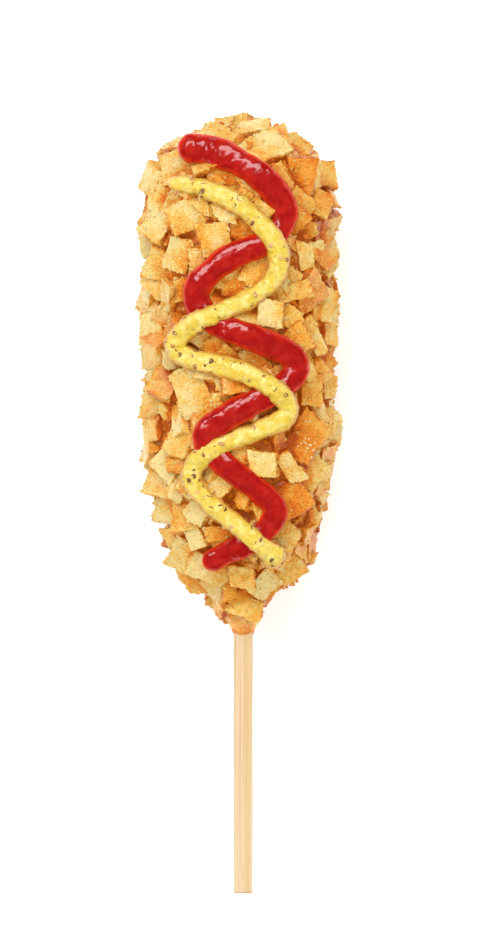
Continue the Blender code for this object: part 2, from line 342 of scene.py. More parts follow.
def scatter_tree(name: str) -> GeometryTree:
    """Scatters shapes over a surface, keeping a distance between them.

    The surface's points say as room where they may go. Each shape is raised
    along the surface's normal, turned, sized, and given a tone from 0 to 1.
    The higher on the body a shape is, the more it leans from the normal to
    straight up, by the input Upward.

    Args:
        name: The group's name.

    Returns:
        A group with its inputs named.
    """
    tree = GeometryTree(name)
    shapes = tree.takes("Shapes", "NodeSocketCollection")
    first, last = tree.takes("First", "NodeSocketInt"), tree.takes("Last", "NodeSocketInt")
    spacing = tree.takes("Spacing", "NodeSocketFloat")
    lowest, highest = tree.takes("Lowest", "NodeSocketFloat"), tree.takes("Highest", "NodeSocketFloat")
    tilt, upward = tree.takes("Tilt", "NodeSocketFloat"), tree.takes("Upward", "NodeSocketFloat")
    small, large = tree.takes("Smallest", "NodeSocketFloat"), tree.takes("Largest", "NodeSocketFloat")
    seed = tree.takes("Seed", "NodeSocketInt")
    finish = tree.takes("Finish", "NodeSocketMaterial")
    points = tree.add(
        "GeometryNodeDistributePointsOnFaces",
        {"distribute_method": "POISSON"},
        {
            "Mesh": tree.geometry(),
            "Distance Min": spacing,
            "Density Max": 1 / (1.0 * MM) ** 2,
            "Density Factor": tree.named("room", "FLOAT"),
            "Seed": seed,
        },
    )
    lift = tree.random("FLOAT", lowest, highest, seed + 1)
    offset = tree.scaled(points.out("Normal"), lift)
    lifted = tree.add("GeometryNodeSetPosition", {}, {"Geometry": points, "Offset": offset})
    lean = tree.random("FLOAT", tilt * -1, tilt, seed + 2)
    pitch = tree.random("FLOAT", tilt * -1, tilt, seed + 3)
    spin = tree.random("FLOAT", 0.0, 2 * math.pi, seed + 4)
    rise = tree.add("ShaderNodeSeparateXYZ", {}, {"Vector": points.out("Normal")}).out("Z")
    up = tree.add("ShaderNodeCombineXYZ", {}, {"Z": (rise * 2 + 0.6).clamped() * upward})
    facing = tree.add("ShaderNodeVectorMath", {"operation": "ADD"}, {0: points.out("Normal"), 1: up})
    turn = tree.add(
        "FunctionNodeRotateRotation",
        {"rotation_space": "LOCAL"},
        {
            "Rotation": tree.add("FunctionNodeAlignRotationToVector", {"axis": "Z"}, {"Vector": facing}),
            "Rotate By": tree.add("ShaderNodeCombineXYZ", {}, {"X": lean, "Y": pitch, "Z": spin}),
        },
    )
    stretch = tree.random("FLOAT_VECTOR", (0.88, 0.88, 0.88), (1.12, 1.12, 1.12), seed + 5)
    size = tree.scaled(stretch, tree.random("FLOAT", small, large, seed + 6))
    pieces = tree.instances(lifted, shapes, tree.random("INT", first, last, seed + 7), turn, size)
    toned = tree.add(
        "GeometryNodeStoreNamedAttribute",
        {"data_type": "FLOAT", "domain": "INSTANCE"},
        {"Geometry": pieces, "Name": "tone", "Value": tree.random("FLOAT", 0.0, 1.0, seed + 8)},
    )
    tree.gives_real(toned, finish)
    return tree


# --------------------------------------------------------------------------
# Meshes
# --------------------------------------------------------------------------


def add_object(name: str, mesh: bpy.types.Mesh) -> bpy.types.Object:
    """An object in the scene, at the origin, with its place in its mesh."""
    made = bpy.data.objects.new(name, mesh)
    bpy.context.scene.collection.objects.link(made)
    return made


def evaluated_mesh(source: bpy.types.Object, name: str) -> bpy.types.Mesh:
    """A plain mesh of an object as its modifiers leave it."""
    bpy.context.view_layer.update()
    graph = bpy.context.evaluated_depsgraph_get()
    mesh = bpy.data.meshes.new_from_object(source.evaluated_get(graph), depsgraph=graph)
    mesh.name = name
    return mesh


def mesh_from(name: str, points: np.ndarray, faces: Iterable[Sequence[int]]) -> bpy.types.Mesh:
    """A mesh in metres from points in millimetres."""
    mesh = bpy.data.meshes.new(name)
    mesh.from_pydata((points * MM).tolist(), [], [list(face) for face in faces])
    mesh.validate()
    return mesh


def positions(mesh: bpy.types.Mesh) -> np.ndarray:
    """A mesh's points in millimetres."""
    flat = np.empty(len(mesh.vertices) * 3, np.float32)
    mesh.vertices.foreach_get("co", flat)
    return flat.reshape(-1, 3).astype(float) / MM


def set_positions(mesh: bpy.types.Mesh, points: np.ndarray) -> None:
    """Moves a mesh's points, given in millimetres."""
    mesh.vertices.foreach_set("co", (points * MM).astype(np.float32).ravel())
    mesh.update()


def normals(mesh: bpy.types.Mesh) -> np.ndarray:
    """A mesh's point normals."""
    flat = np.empty(len(mesh.vertices) * 3, np.float32)
    mesh.vertex_normals.foreach_get("vector", flat)
    return flat.reshape(-1, 3).astype(float)


def set_attribute(mesh: bpy.types.Mesh, name: str, values: np.ndarray) -> None:
    """Stores one value for each point of a mesh."""
    attribute = mesh.attributes.get(name) or mesh.attributes.new(name, "FLOAT", "POINT")
    attribute.data.foreach_set("value", values.astype(np.float32))


def joined(name: str, meshes: Iterable[bpy.types.Mesh]) -> bpy.types.Mesh:
    """One mesh of the points and faces of several."""
    bm = bmesh.new()
    for mesh in meshes:
        bm.from_mesh(mesh)
    whole = bpy.data.meshes.new(name)
    bm.to_mesh(whole)
    bm.free()
    return whole


def values_of(mesh: bpy.types.Mesh, name: str) -> np.ndarray:
    """The values of a point attribute."""
    values = np.empty(len(mesh.vertices), np.float32)
    mesh.attributes[name].data.foreach_get("value", values)
    return values


def ripple(points: np.ndarray, size: float, seed: float, octaves: int = 1) -> np.ndarray:
    """Smooth noise at some points, from about -1 to 1.

    Args:
        points: Places in millimetres.
        size: The noise's size in millimetres.
        seed: Shifts the pattern.
        octaves: How many times finer noise is added at half the height.

    Returns:
        One value for each point.
    """
    shift = Vector((seed * 13.7, seed * 7.3, seed * 3.1))
    values = np.zeros(len(points))
    for octave in range(octaves):
        scale = 2**octave / size
        layer = [noise.noise(Vector(point) * scale + shift) for point in points]
        values += np.array(layer) / 2**octave
    return values


def voxel_skin(mesh: bpy.types.Mesh, name: str, voxel: float, passes: int) -> bpy.types.Mesh:
    """One smooth closed skin round everything in a mesh.

    Args:
        mesh: The closed shapes to join.
        name: The skin's name.
        voxel: The size of the skin's faces in millimetres.
        passes: How many smoothing passes follow.

    Returns:
        The new mesh.
    """
    holder = add_object(name + "_holder", mesh)
    remesh = holder.modifiers.new("skin", "REMESH")
    remesh.mode = "VOXEL"
    remesh.voxel_size = voxel * MM
    smooth = holder.modifiers.new("smooth", "SMOOTH")
    smooth.factor = 0.5
    smooth.iterations = passes
    skin = evaluated_mesh(holder, name)
    bpy.data.objects.remove(holder)
    return skin


def shown(name: str, mesh: bpy.types.Mesh, surface: bpy.types.Material) -> bpy.types.Object:
    """A finished, smooth-shaded object of one material."""
    mesh.materials.clear()
    mesh.materials.append(surface)
    mesh.shade_smooth()
    return add_object(name, mesh)


def ride(piece: bpy.types.Object, slot: str, *nodes: str) -> None:
    """Hands a piece to the frame and reports it.

    Args:
        piece: The finished object.
        slot: The record's material slot. Not used.
        nodes: The frame's nodes that the piece stands for.
    """
    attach(piece, ROOT)
    if nodes:
        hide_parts(*nodes)
    triangles = sum(len(face.vertices) - 2 for face in piece.data.polygons)
    log.info("%s: %d triangles", piece.name, triangles)


def pressed(points: np.ndarray) -> np.ndarray:
    """Points, in millimetres, with all under the table flattened against it."""
    kept = points.copy()
    under = kept[:, 2] < 0.5
    kept[under, 2] = 0.5 * np.exp((kept[under, 2] - 0.5) / 2.0)
    return kept


class Ground:
    """Finds where some pieces are, by casting rays at them."""

    def __init__(self, meshes: Sequence[bpy.types.Mesh]) -> None:
        """Keeps a search tree over the meshes.

        Args:
            meshes: What can be stood on, in metres.
        """
        points: list[tuple] = []
        faces: list[list[int]] = []
        for mesh in meshes:
            start = len(points)
            points.extend(tuple(vertex.co) for vertex in mesh.vertices)
            faces.extend([start + i for i in face.vertices] for face in mesh.polygons)
        self.tree = BVHTree.FromPolygons(points, faces)

    def height(self, x: float, y: float) -> float:
        """The top of the pieces over a spot, in millimetres, or 0."""
        hit = self.tree.ray_cast(Vector((x * MM, y * MM, 0.2)), Vector((0, 0, -1)))[0]
        return hit.z / MM if hit else 0.0

    def depth_under(self, point: np.ndarray, outward: np.ndarray) -> float:
        """How far in from a point the first piece is, in millimetres."""
        distance = self.tree.ray_cast(Vector(point) * MM, -Vector(outward))[3]
        return distance / MM if distance is not None else math.inf

    def holds(self, point: np.ndarray, outward: np.ndarray) -> bool:
        """Whether a point is inside one of the pieces."""
        direction = Vector(outward)
        hit, facing = self.tree.ray_cast(Vector(point) * MM + direction * 1e-5, direction, 0.012)[:2]
        return hit is not None and facing.dot(direction) > 0


# --------------------------------------------------------------------------
# Finishes
# --------------------------------------------------------------------------


@dataclass(frozen=True)
class PotatoFinish:
    """Fried potato: cream and golden faces, browner at edges, with painted shade and a painted orange glow
    where it is buried, painted shade towards the right, and side faces darker partly from browning and
    partly as painted shade.
    """

    cream: str = "FFE49A"
    golden: str = "FDC95F"
    toasted: str = "F6A433"
    orange: str = "E67A12"
    brown: str = "BC4E0C"

    def make(self) -> bpy.types.Material:
        """The material. It reads the points' rim, flank, tone and buried values, and the value across the
        body that paints shade to the right.
        """
        tree = ShaderTree("fried_potato")
        rim, tone = tree.attribute("rim"), tree.attribute("tone")
        buried, flank = tree.attribute("buried"), tree.attribute("flank")
        broad, mottle, fine = tree.grain(6.0, 2.0), tree.grain(1.6, 3.0), tree.grain(0.55, 3.0)
        flecks = (broad - 0.5) * 1.0 + (mottle - 0.5) * 0.3 + (fine - 0.5) * 0.9
        # Side faces are darkened partly as browning and partly as painted shade.
        edges = rim * ((mottle - 0.5) * 0.9 - 0.02) + flank * 0.24
        # Painted shade: points buried deeper between the pieces turn orange and brown.
        sides = tree.between(buried + (mottle - 0.5) * 0.4, 0.0, 0.75)
        # Painted shade: the value across the body makes the right side darker and the left side paler.
        fried = tone * 0.5 + flecks + edges + sides * 0.9 + tree.attribute("browned") * 0.08 + 0.05
        stops = (
            (0.0, linear(self.cream)),
            (0.26, linear(self.golden)),
            (0.5, linear(self.toasted)),
            (0.78, linear(self.orange)),
            (1.0, linear(self.brown)),
        )
        colour = tree.add("ShaderNodeValToRGB", {"stops": stops}, {"Fac": fried})
        bubbles = 1 - tree.between(tree.cells(1.1), 0.0, 0.6)
        height = bubbles * 0.3 + fine * 2.4 + mottle * 0.8
        return tree.finish(
            {
                "Base Color": colour,
                "Roughness": fine * 0.5 + 0.1,
                "Normal": tree.bump(height, 0.54),
                "Specular IOR Level": 0.42,
                "Coat Weight": 0.3,
                "Coat Roughness": 0.16,
                "Subsurface Weight": 0.25,
                "Subsurface Radius": (1.0, 0.6, 0.3),
                "Subsurface Scale": 0.6 * MM,
                # Painted glow: buried points give off a faint orange light.
                "Emission Color": tree.blend(sides, (0.0, 0.0, 0.0, 1.0), linear(self.orange)),
                "Emission Strength": 0.16,
            }
        )


@dataclass(frozen=True)
class BatterFinish:
    """Deep-fried batter, golden where it stands out, turned brown in the deepest gaps as painted shade, with
    a painted orange glow there.
    """

    deep: str = "B4561C"
    gap: str = "D97A24"
    crust: str = "EAB869"

    def make(self) -> bpy.types.Material:
        """The material. It reads the points' raised and rim values."""
        tree = ShaderTree("fried_batter")
        raised, rim = tree.attribute("raised"), tree.attribute("rim")
        mottle, fine = tree.grain(2.2, 3.0), tree.grain(0.7, 3.0)
        # Painted shade: the lower the batter lies between the pieces, the browner its colour.
        share = raised * 0.7 + (mottle - 0.5) * 1.5 + (fine - 0.5) * 1.0 - rim * 0.5 + 0.2
        stops = ((0.0, linear(self.deep)), (0.42, linear(self.gap)), (1.0, linear(self.crust)))
        colour = tree.add("ShaderNodeValToRGB", {"stops": stops}, {"Fac": share})
        bubbles = 1 - tree.between(tree.cells(1.1), 0.0, 0.6)
        height = bubbles * 0.6 + fine * 1.4 + mottle
        return tree.finish(
            {
                "Base Color": colour,
                "Roughness": fine * 0.35 + 0.26,
                "Normal": tree.bump(height, 0.26),
                "Coat Weight": 0.1,
                "Coat Roughness": 0.3,
                "Subsurface Weight": 0.5,
                "Subsurface Radius": (1.0, 0.33, 0.07),
                "Subsurface Scale": 3.4 * MM,
                # Painted glow: the batter in the gaps gives off a faint orange light.
                "Emission Color": tree.blend(share.clamped(), linear(self.gap), (0.0, 0.0, 0.0, 1.0)),
                "Emission Strength": 0.14,
            }
        )


@dataclass(frozen=True)
class KetchupFinish:
    """Smooth wet tomato ketchup, brighter where it thins at its edges."""

    deep: str = "9A100E"
    bright: str = "B01C14"
    thin: str = "DC3C0C"

    def make(self) -> bpy.types.Material:
        """The material. It reads the points' edge value."""
        tree = ShaderTree("ketchup")
        mottle, fine = tree.grain(3.0, 3.0), tree.grain(0.6, 2.0)
        body = tree.blend(tree.between(mottle, 0.35, 0.7), linear(self.deep), linear(self.bright))
        edge = tree.attribute("edge")
        thinned = tree.between(edge + (mottle - 0.5) * 0.6, 0.45, 1.1)
        height = tree.grain(1.8, 2.0) + fine * 0.12
        return tree.finish(
            {
                "Base Color": tree.blend(thinned * 0.7, body, linear(self.thin)),
                "Roughness": mottle * 0.2 + 0.1,
                "Normal": tree.bump(height, 0.24),
                "Specular IOR Level": 0.16,
                "Coat Weight": 1 - tree.between(edge, 0.35, 0.8),
                "Coat Roughness": 0.14,
                "Subsurface Weight": 0.12,
                "Subsurface Radius": (1.0, 0.08, 0.04),
                "Subsurface Scale": 1.5 * MM,
            }
        )


@dataclass(frozen=True)
class MustardFinish:
    """Coarse mustard: pale yellow paste, painted ochre at its edges as shade, with ground husk in it."""

    cream: str = "ECD97E"
    paste: str = "DEC040"
    ochre: str = "CC842A"
    husk: str = "9C7A34"

    def make(self) -> bpy.types.Material:
        """The material. It reads the points' edge value."""
        tree = ShaderTree("grain_mustard")
        mottle, fine = tree.grain(2.4, 4.0), tree.grain(0.6, 3.0)
        body = tree.blend(tree.between(mottle, 0.4, 0.72), linear(self.paste), linear(self.cream))
        # Painted shade: the bead's sides turn ochre.
        low = tree.between(tree.attribute("edge") + (mottle - 0.5) * 1.2, 0.35, 1.15)
        shaded = tree.blend(low * 0.85, body, linear(self.ochre))
        husks = tree.between(tree.grain(0.8, 2.0, (1, 2.2, 1)), 0.68, 0.75)
        height = mottle * 1.5 + fine * 0.6 + (1 - tree.cells(1.4)) * 0.5
        return tree.finish(
            {
                "Base Color": tree.blend(husks * 0.6, shaded, linear(self.husk)),
                "Roughness": fine * 0.2 + 0.24,
                "Normal": tree.bump(height, 0.42),
                "Coat Weight": 0.5,
                "Coat Roughness": 0.18,
                "Subsurface Weight": 0.15,
                "Subsurface Radius": (1.0, 0.6, 0.15),
                "Subsurface Scale": 1.4 * MM,
            }
        )


@dataclass(frozen=True)
class SeedFinish:
    """Mustard seeds and husks, from pinkish tan to dark brown, smeared with paste."""

    tan: str = "DDB07A"
    brown: str = "A5683C"
    dark: str = "60401E"
    paste: str = "E3C45E"

    def make(self) -> bpy.types.Material:
        """The material. It reads the seeds' tone."""
        tree = ShaderTree("mustard_seed")
        stops = ((0.0, linear(self.tan)), (0.45, linear(self.brown)), (1.0, linear(self.dark)))
        patchy = tree.grain(0.7, 2.0)
        share = tree.attribute("tone") + (patchy - 0.5) * 1.1
        bare = tree.add("ShaderNodeValToRGB", {"stops": stops}, {"Fac": share})
        smeared = tree.between(tree.grain(1.0, 2.0), 0.55, 0.62)
        return tree.finish(
            {
                "Base Color": tree.blend(smeared * 0.8, bare, linear(self.paste)),
                "Roughness": patchy * 0.2 + 0.25,
                "Normal": tree.bump(patchy, 0.08),
            }
        )


@dataclass(frozen=True)
class SaltFinish:
    """Salt, melted a little into the crust, so nearly as golden as that."""

    pale: str = "F8DCA8"

    def make(self) -> bpy.types.Material:
        """The material."""
        tree = ShaderTree("salt")
        return tree.finish(
            {
                "Base Color": linear(self.pale),
                "Roughness": 0.35,
                "Subsurface Weight": 0.4,
                "Subsurface Radius": (1.0, 0.8, 0.6),
                "Subsurface Scale": 0.3 * MM,
            }
        )


@dataclass(frozen=True)
class WoodFinish:
    """Pale sawn wood with fine lengthwise grain."""

    pale: str = "D8BF9B"
    grain: str = "C49D71"
    stripe: str = "CCAE78"
    dark: str = "B07C48"
    stripe_at: float = 1.9
    stripe_half: float = 0.8

    def make(self) -> bpy.types.Material:
        """The material. It reads the points' rim value at the sawn end."""
        tree = ShaderTree("stick_wood")
        across = tree.add("ShaderNodeSeparateXYZ", {}, {"Vector": tree.place}) * (1 / MM)
        wander = tree.grain(2.0, 2.0, (1, 40, 1))
        off = tree.add(
            "ShaderNodeMath",
            {"operation": "ABSOLUTE"},
            {0: across + (wander - 0.5) * 1.2 - self.stripe_at},
        )
        band = 1 - tree.between(off, self.stripe_half * 0.7, self.stripe_half * 1.2)
        broad = tree.grain(1.3, 2.0, (1, 60, 1))
        lines = tree.grain(0.32, 3.0, (1, 90, 1))
        pores = tree.grain(0.16, 2.0, (1, 30, 1))
        share = (tree.between(broad, 0.4, 0.7) * 0.45 + tree.between(lines, 0.45, 0.7) * 0.5).clamped()
        plain = tree.blend(share, linear(self.pale), linear(self.grain))
        body = tree.blend(band * 0.6, plain, linear(self.stripe))
        streaks = tree.between(pores, 0.62, 0.74) * 0.5 + tree.attribute("rim") * 0.4
        colour = tree.blend(streaks.clamped(), body, linear(self.dark))
        return tree.finish(
            {
                "Base Color": colour,
                "Roughness": lines * 0.2 + 0.5,
                "Normal": tree.bump(lines + pores * 0.5, 0.06),
                "Specular IOR Level": 0.3,
            }
        )


@dataclass(frozen=True)
class TableFinish:
    """A plain pale table, lit a little from beneath."""

    colour: str = "FBFBFA"
    glow: float = 0.2

    def make(self) -> bpy.types.Material:
        """The material."""
        tree = ShaderTree("table")
        return tree.finish(
            {
                "Base Color": linear(self.colour),
                "Roughness": 0.8,
                "Specular IOR Level": 0.1,
                "Emission Color": linear(self.colour),
                "Emission Strength": self.glow,
            }
        )


# --------------------------------------------------------------------------
# The body's outline
# --------------------------------------------------------------------------


@dataclass(frozen=True)
class Outline:
    """How far out the body reaches along its length.

    Attributes:
        stations: (along Y, radius) in millimetres, crown first.
    """

    stations: tuple[tuple[float, float], ...]

    def radius(self, y: float | np.ndarray) -> float | np.ndarray:
        """The radius at a distance along the body."""
        ys, radii = zip(*reversed(self.stations))
        return np.interp(y, ys, radii)

    def slope(self, y: float) -> float:
        """The angle by which the outward direction leans towards the crown."""
        return math.atan2(self.radius(y - 1.5) - self.radius(y + 1.5), 3.0)

    def length(self) -> tuple[float, float]:
        """The lowest and the highest Y."""
        return self.stations[-1][0], self.stations[0][0]


@dataclass(frozen=True)
class Axis:
    """The line that the body lies round, from the frame, in millimetres."""

    x: float
    z: float
    stick_x: float

    @classmethod
    def from_frame(cls) -> "Axis":
        """Reads the axis off the batter and the stick."""
        batter = sum(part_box("batter"), Vector()) / 2 / MM
        stick = sum(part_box("stick"), Vector()) / 2 / MM
        return cls(batter.x, batter.z, stick.x)

    def place(
        self, outline: Outline, y: float, angle: float, lift: float, upward: float
    ) -> Matrix:
        """A place over the outline, its local Z outward, in millimetres.

        Args:
            outline: The surface that the place is on.
            y: How far along the body it is.
            angle: The angle round the axis, where a quarter turn is up.
            lift: How far out of the surface it stands.
            upward: How far it is turned from outward to straight up, from 0 to 1.

        Returns:
            A matrix whose local X runs round the body and Y along it.
        """
        slope = outline.slope(y)
        flat = math.cos(slope)
        out = Vector((math.cos(angle) * flat, math.sin(slope), math.sin(angle) * flat))
        reach = outline.radius(y)
        foot = Vector((self.x + reach * math.cos(angle), y, self.z + reach * math.sin(angle)))
        facing = out.lerp(Vector((0.0, 0.0, 1.0)), upward).normalized()
        around = Vector((0.0, 1.0, 0.0)).cross(facing).normalized()
        along = facing.cross(around)
        turn = Matrix((around, along, facing)).transposed().to_4x4()
        return Matrix.Translation(foot + out * lift) @ turn


SKIN = Outline(
    (
        (104.2, 3.0),
        (103.9, 8.0),
        (102.7, 13.0),
        (100.4, 18.0),
        (96.6, 22.0),
        (92.0, 24.2),
        (85.0, 25.4),
        (40.0, 25.4),
        (14.0, 24.6),
        (-5.0, 21.6),
        (-14.0, 18.2),
        (-19.0, 15.0),
        (-23.0, 10.6),
        (-26.0, 7.6),
    )
)
CORE = Outline(
    (
        (102.4, 0.6),
        (102.0, 5.0),
        (100.6, 10.0),
        (98.0, 15.0),
        (94.0, 18.8),
        (88.5, 21.2),
        (80.0, 22.4),
        (40.0, 22.8),
        (14.0, 21.8),
        (-5.0, 18.9),
        (-14.0, 15.4),
        (-20.0, 11.4),
        (-24.0, 7.8),
        (-27.0, 6.0),
        (-30.0, 5.2),
        (-33.0, 4.2),
        (-35.0, 3.3),
        (-36.6, 2.6),
        (-37.8, 2.1),
    )
)


# --------------------------------------------------------------------------
# Potato
# --------------------------------------------------------------------------


class Cut(Enum):
    """How a piece of potato was cut: (length, width, depth) in millimetres."""

    DIE = (9.2, 8.4, 5.4)
    PLANK = (11.0, 9.0, 2.9)
    BATON = (10.5, 4.8, 3.4)
    SHARD = (8.5, 5.6, 1.5)


@dataclass
class PotatoKnife:
    """Cuts the separate shapes that the coat is made of.

    Attributes:
        cuts: How many different pieces there are of each cut.
        torn: How deep the sides of each cut are torn, in millimetres.
        edge: The radius of a piece's edges, in millimetres.
        seed: Makes another set of pieces.
    """

    cuts: tuple[tuple[Cut, int], ...] = (
        (Cut.DIE, 9),
        (Cut.PLANK, 9),
        (Cut.BATON, 6),
        (Cut.SHARD, 8),
    )
    torn: tuple[tuple[Cut, float], ...] = (
        (Cut.DIE, 0.6),
        (Cut.PLANK, 1.0),
        (Cut.BATON, 0.6),
        (Cut.SHARD, 1.8),
    )
    edge: float = 0.22
    seed: int = 5

    def numbers(self, cut: Cut) -> tuple[int, int]:
        """The first and last number of a cut's pieces."""
        first = 0
        for other, count in self.cuts:
            if other is cut:
                return first, first + count - 1
            first += count
        raise ValueError(cut)

    def make(self, name: str, grid: int) -> bpy.types.Collection:
        """All the shapes, each centred on the origin, in order.

        Args:
            name: What the shapes are called.
            grid: How many faces a piece has along each edge.

        Returns:
            A collection of one object for each shape.
        """
        board = bpy.data.collections.new(name)
        rng = random.Random(self.seed)
        number = 0
        for cut, count in self.cuts:
            for _ in range(count):
                mesh = self.piece(cut, rng, f"{name}_{number:02d}", grid)
                board.objects.link(bpy.data.objects.new(mesh.name, mesh))
                number += 1
        return board

    def piece(self, cut: Cut, rng: random.Random, name: str, grid: int) -> bpy.types.Mesh:
        """One piece: a skewed block, broken at its edges and rough all over.

        Args:
            cut: How it was cut.
            rng: Where its chances come from.
            name: The mesh's name.
            grid: How many faces it has along each edge.

        Returns:
            A mesh whose points carry how near an edge they are, as rim, and
            whether they lie on a cut side, as flank.
        """
        bm = bmesh.new()
        bmesh.ops.create_cube(bm, size=2.0)
        bmesh.ops.subdivide_edges(bm, edges=bm.edges, cuts=grid - 1, use_grid_fill=True)
        unit = np.array([vertex.co for vertex in bm.verts])
        last = 1 - 2 / grid
        unit = np.where(np.abs(unit) > 0.999, unit, unit * 0.93 / last)
        torn = dict(self.torn)[cut]
        half = np.array(cut.value) / 2 + np.array((0.2, 0.2, 0)) * torn
        inner = np.clip(unit * half, -(half - self.edge), half - self.edge)
        outward = unit * half - inner
        outward /= np.maximum(np.linalg.norm(outward, axis=1, keepdims=True), 1e-9)
        points = inner + outward * self.edge
        points = self._skewed(points, unit, half, rng)
        points = self._broken(points, half, rng)
        points = self._chipped(points, half, rng)
        seed = rng.uniform(0, 50)
        rims = np.sort(np.abs(unit), axis=1)[:, 1]
        rim = np.clip((rims - 0.72) / 0.28, 0, 1)
        points = self._torn(points, unit, torn, seed + 6)
        swell = ripple(points, 5.0, seed) * 0.28
        swell += (0.25 - np.abs(ripple(points, 2.2, seed + 9))) * 0.28
        swell += ripple(points, 1.1, seed + 3) * 0.2
        points = points + outward * swell[:, None]
        curl = rng.uniform(-0.014, 0.014) * (cut in (Cut.PLANK, Cut.SHARD))
        points[:, 2] += curl * (points[:, 0] ** 2 - half[0] ** 2 / 3)
        if cut is Cut.SHARD:
            fibres = ripple(points * (0.2, 1, 1), 1.1, seed + 8)
            points[:, 2] += fibres * 0.6
            points[:, 0] += fibres * 2.2 * np.abs(unit[:, 0]) ** 3
        for vertex, point in zip(bm.verts, points):
            vertex.co = Vector(point) * MM
        mesh = bpy.data.meshes.new(name)
        bm.to_mesh(mesh)
        bm.free()
        set_attribute(mesh, "rim", rim)
        set_attribute(mesh, "flank", np.abs(unit[:, :2]).max(axis=1) > 0.999)
        return mesh

    @staticmethod
    def _torn(points: np.ndarray, unit: np.ndarray, torn: float, seed: float) -> np.ndarray:
        """Eats into the sides, nearly alike all through the thickness."""
        side = np.clip((np.abs(unit[:, :2]).max(axis=1) - 0.55) / 0.45, 0, 1) ** 2
        flat = points * (1, 1, 0.3)
        bite = np.abs(ripple(flat, 3.6, seed)) * 0.6 + np.abs(ripple(flat, 1.8, seed + 1))
        bite += np.abs(ripple(flat, 0.9, seed + 2)) * 0.8
        away = points * (1, 1, 0)
        away /= np.maximum(np.linalg.norm(away, axis=1, keepdims=True), 1e-9)
        return points - away * (bite * side * torn)[:, None]

    @staticmethod
    def _skewed(
        points: np.ndarray, unit: np.ndarray, half: np.ndarray, rng: random.Random
    ) -> np.ndarray:
        """Moves the eight corners, and all between them in proportion."""
        moved = points.copy()
        for corner in ((i, j, k) for i in (-1, 1) for j in (-1, 1) for k in (-1, 1)):
            share = np.prod((1 + unit * np.array(corner)) / 2, axis=1)
            step = np.array([rng.uniform(-0.2, 0.2) for _ in range(3)]) * half
            moved += share[:, None] * step
        return moved

    @staticmethod
    def _broken(points: np.ndarray, half: np.ndarray, rng: random.Random) -> np.ndarray:
        """Flattens a few corners, as where a piece broke."""
        for _ in range(rng.choice((0, 1, 1, 2))):
            facing = np.array([rng.choice((-1, 1)) * rng.uniform(0.25, 1.0) for _ in range(3)])
            facing /= np.linalg.norm(facing * half)
            reach = rng.uniform(0.98, 1.3)
            over = np.maximum(points @ facing - reach, 0)
            points = points - over[:, None] * facing / (facing @ facing)
        return points

    @staticmethod
    def _chipped(points: np.ndarray, half: np.ndarray, rng: random.Random) -> np.ndarray:
        """Knocks small chips out of the edges."""
        for _ in range(rng.randint(2, 5)):
            corner = np.array([rng.choice((-1.0, 1.0)) for _ in range(3)])
            corner[rng.randrange(3)] = rng.uniform(-0.9, 0.9)
            middle = corner * half
            facing = corner + np.array([rng.uniform(-0.35, 0.35) for _ in range(3)])
            facing /= np.linalg.norm(facing)
            reach = middle @ facing - rng.uniform(0.2, 0.7)
            near = np.exp(-np.sum((points - middle) ** 2, axis=1) / rng.uniform(1.4, 3.2) ** 2)
            over = np.maximum(points @ facing - reach, 0) * near
            points = points - over[:, None] * facing
        return points


@dataclass(frozen=True)
class ShownPiece:
    """A piece of potato with a place of its own, in millimetres and degrees.

    Attributes:
        cut: How it was cut.
        x: Its middle across the body.
        y: Its middle along the body.
        long: Its length.
        wide: Its width.
        turn: How its length lies, anticlockwise from X as seen from above.
        tone: How brown it fried, from 0 to 1.
        lift: How far it stands out beyond its neighbours.
    """

    cut: Cut
    x: float
    y: float
    long: float
    wide: float
    turn: float
    tone: float
    lift: float = 0.0


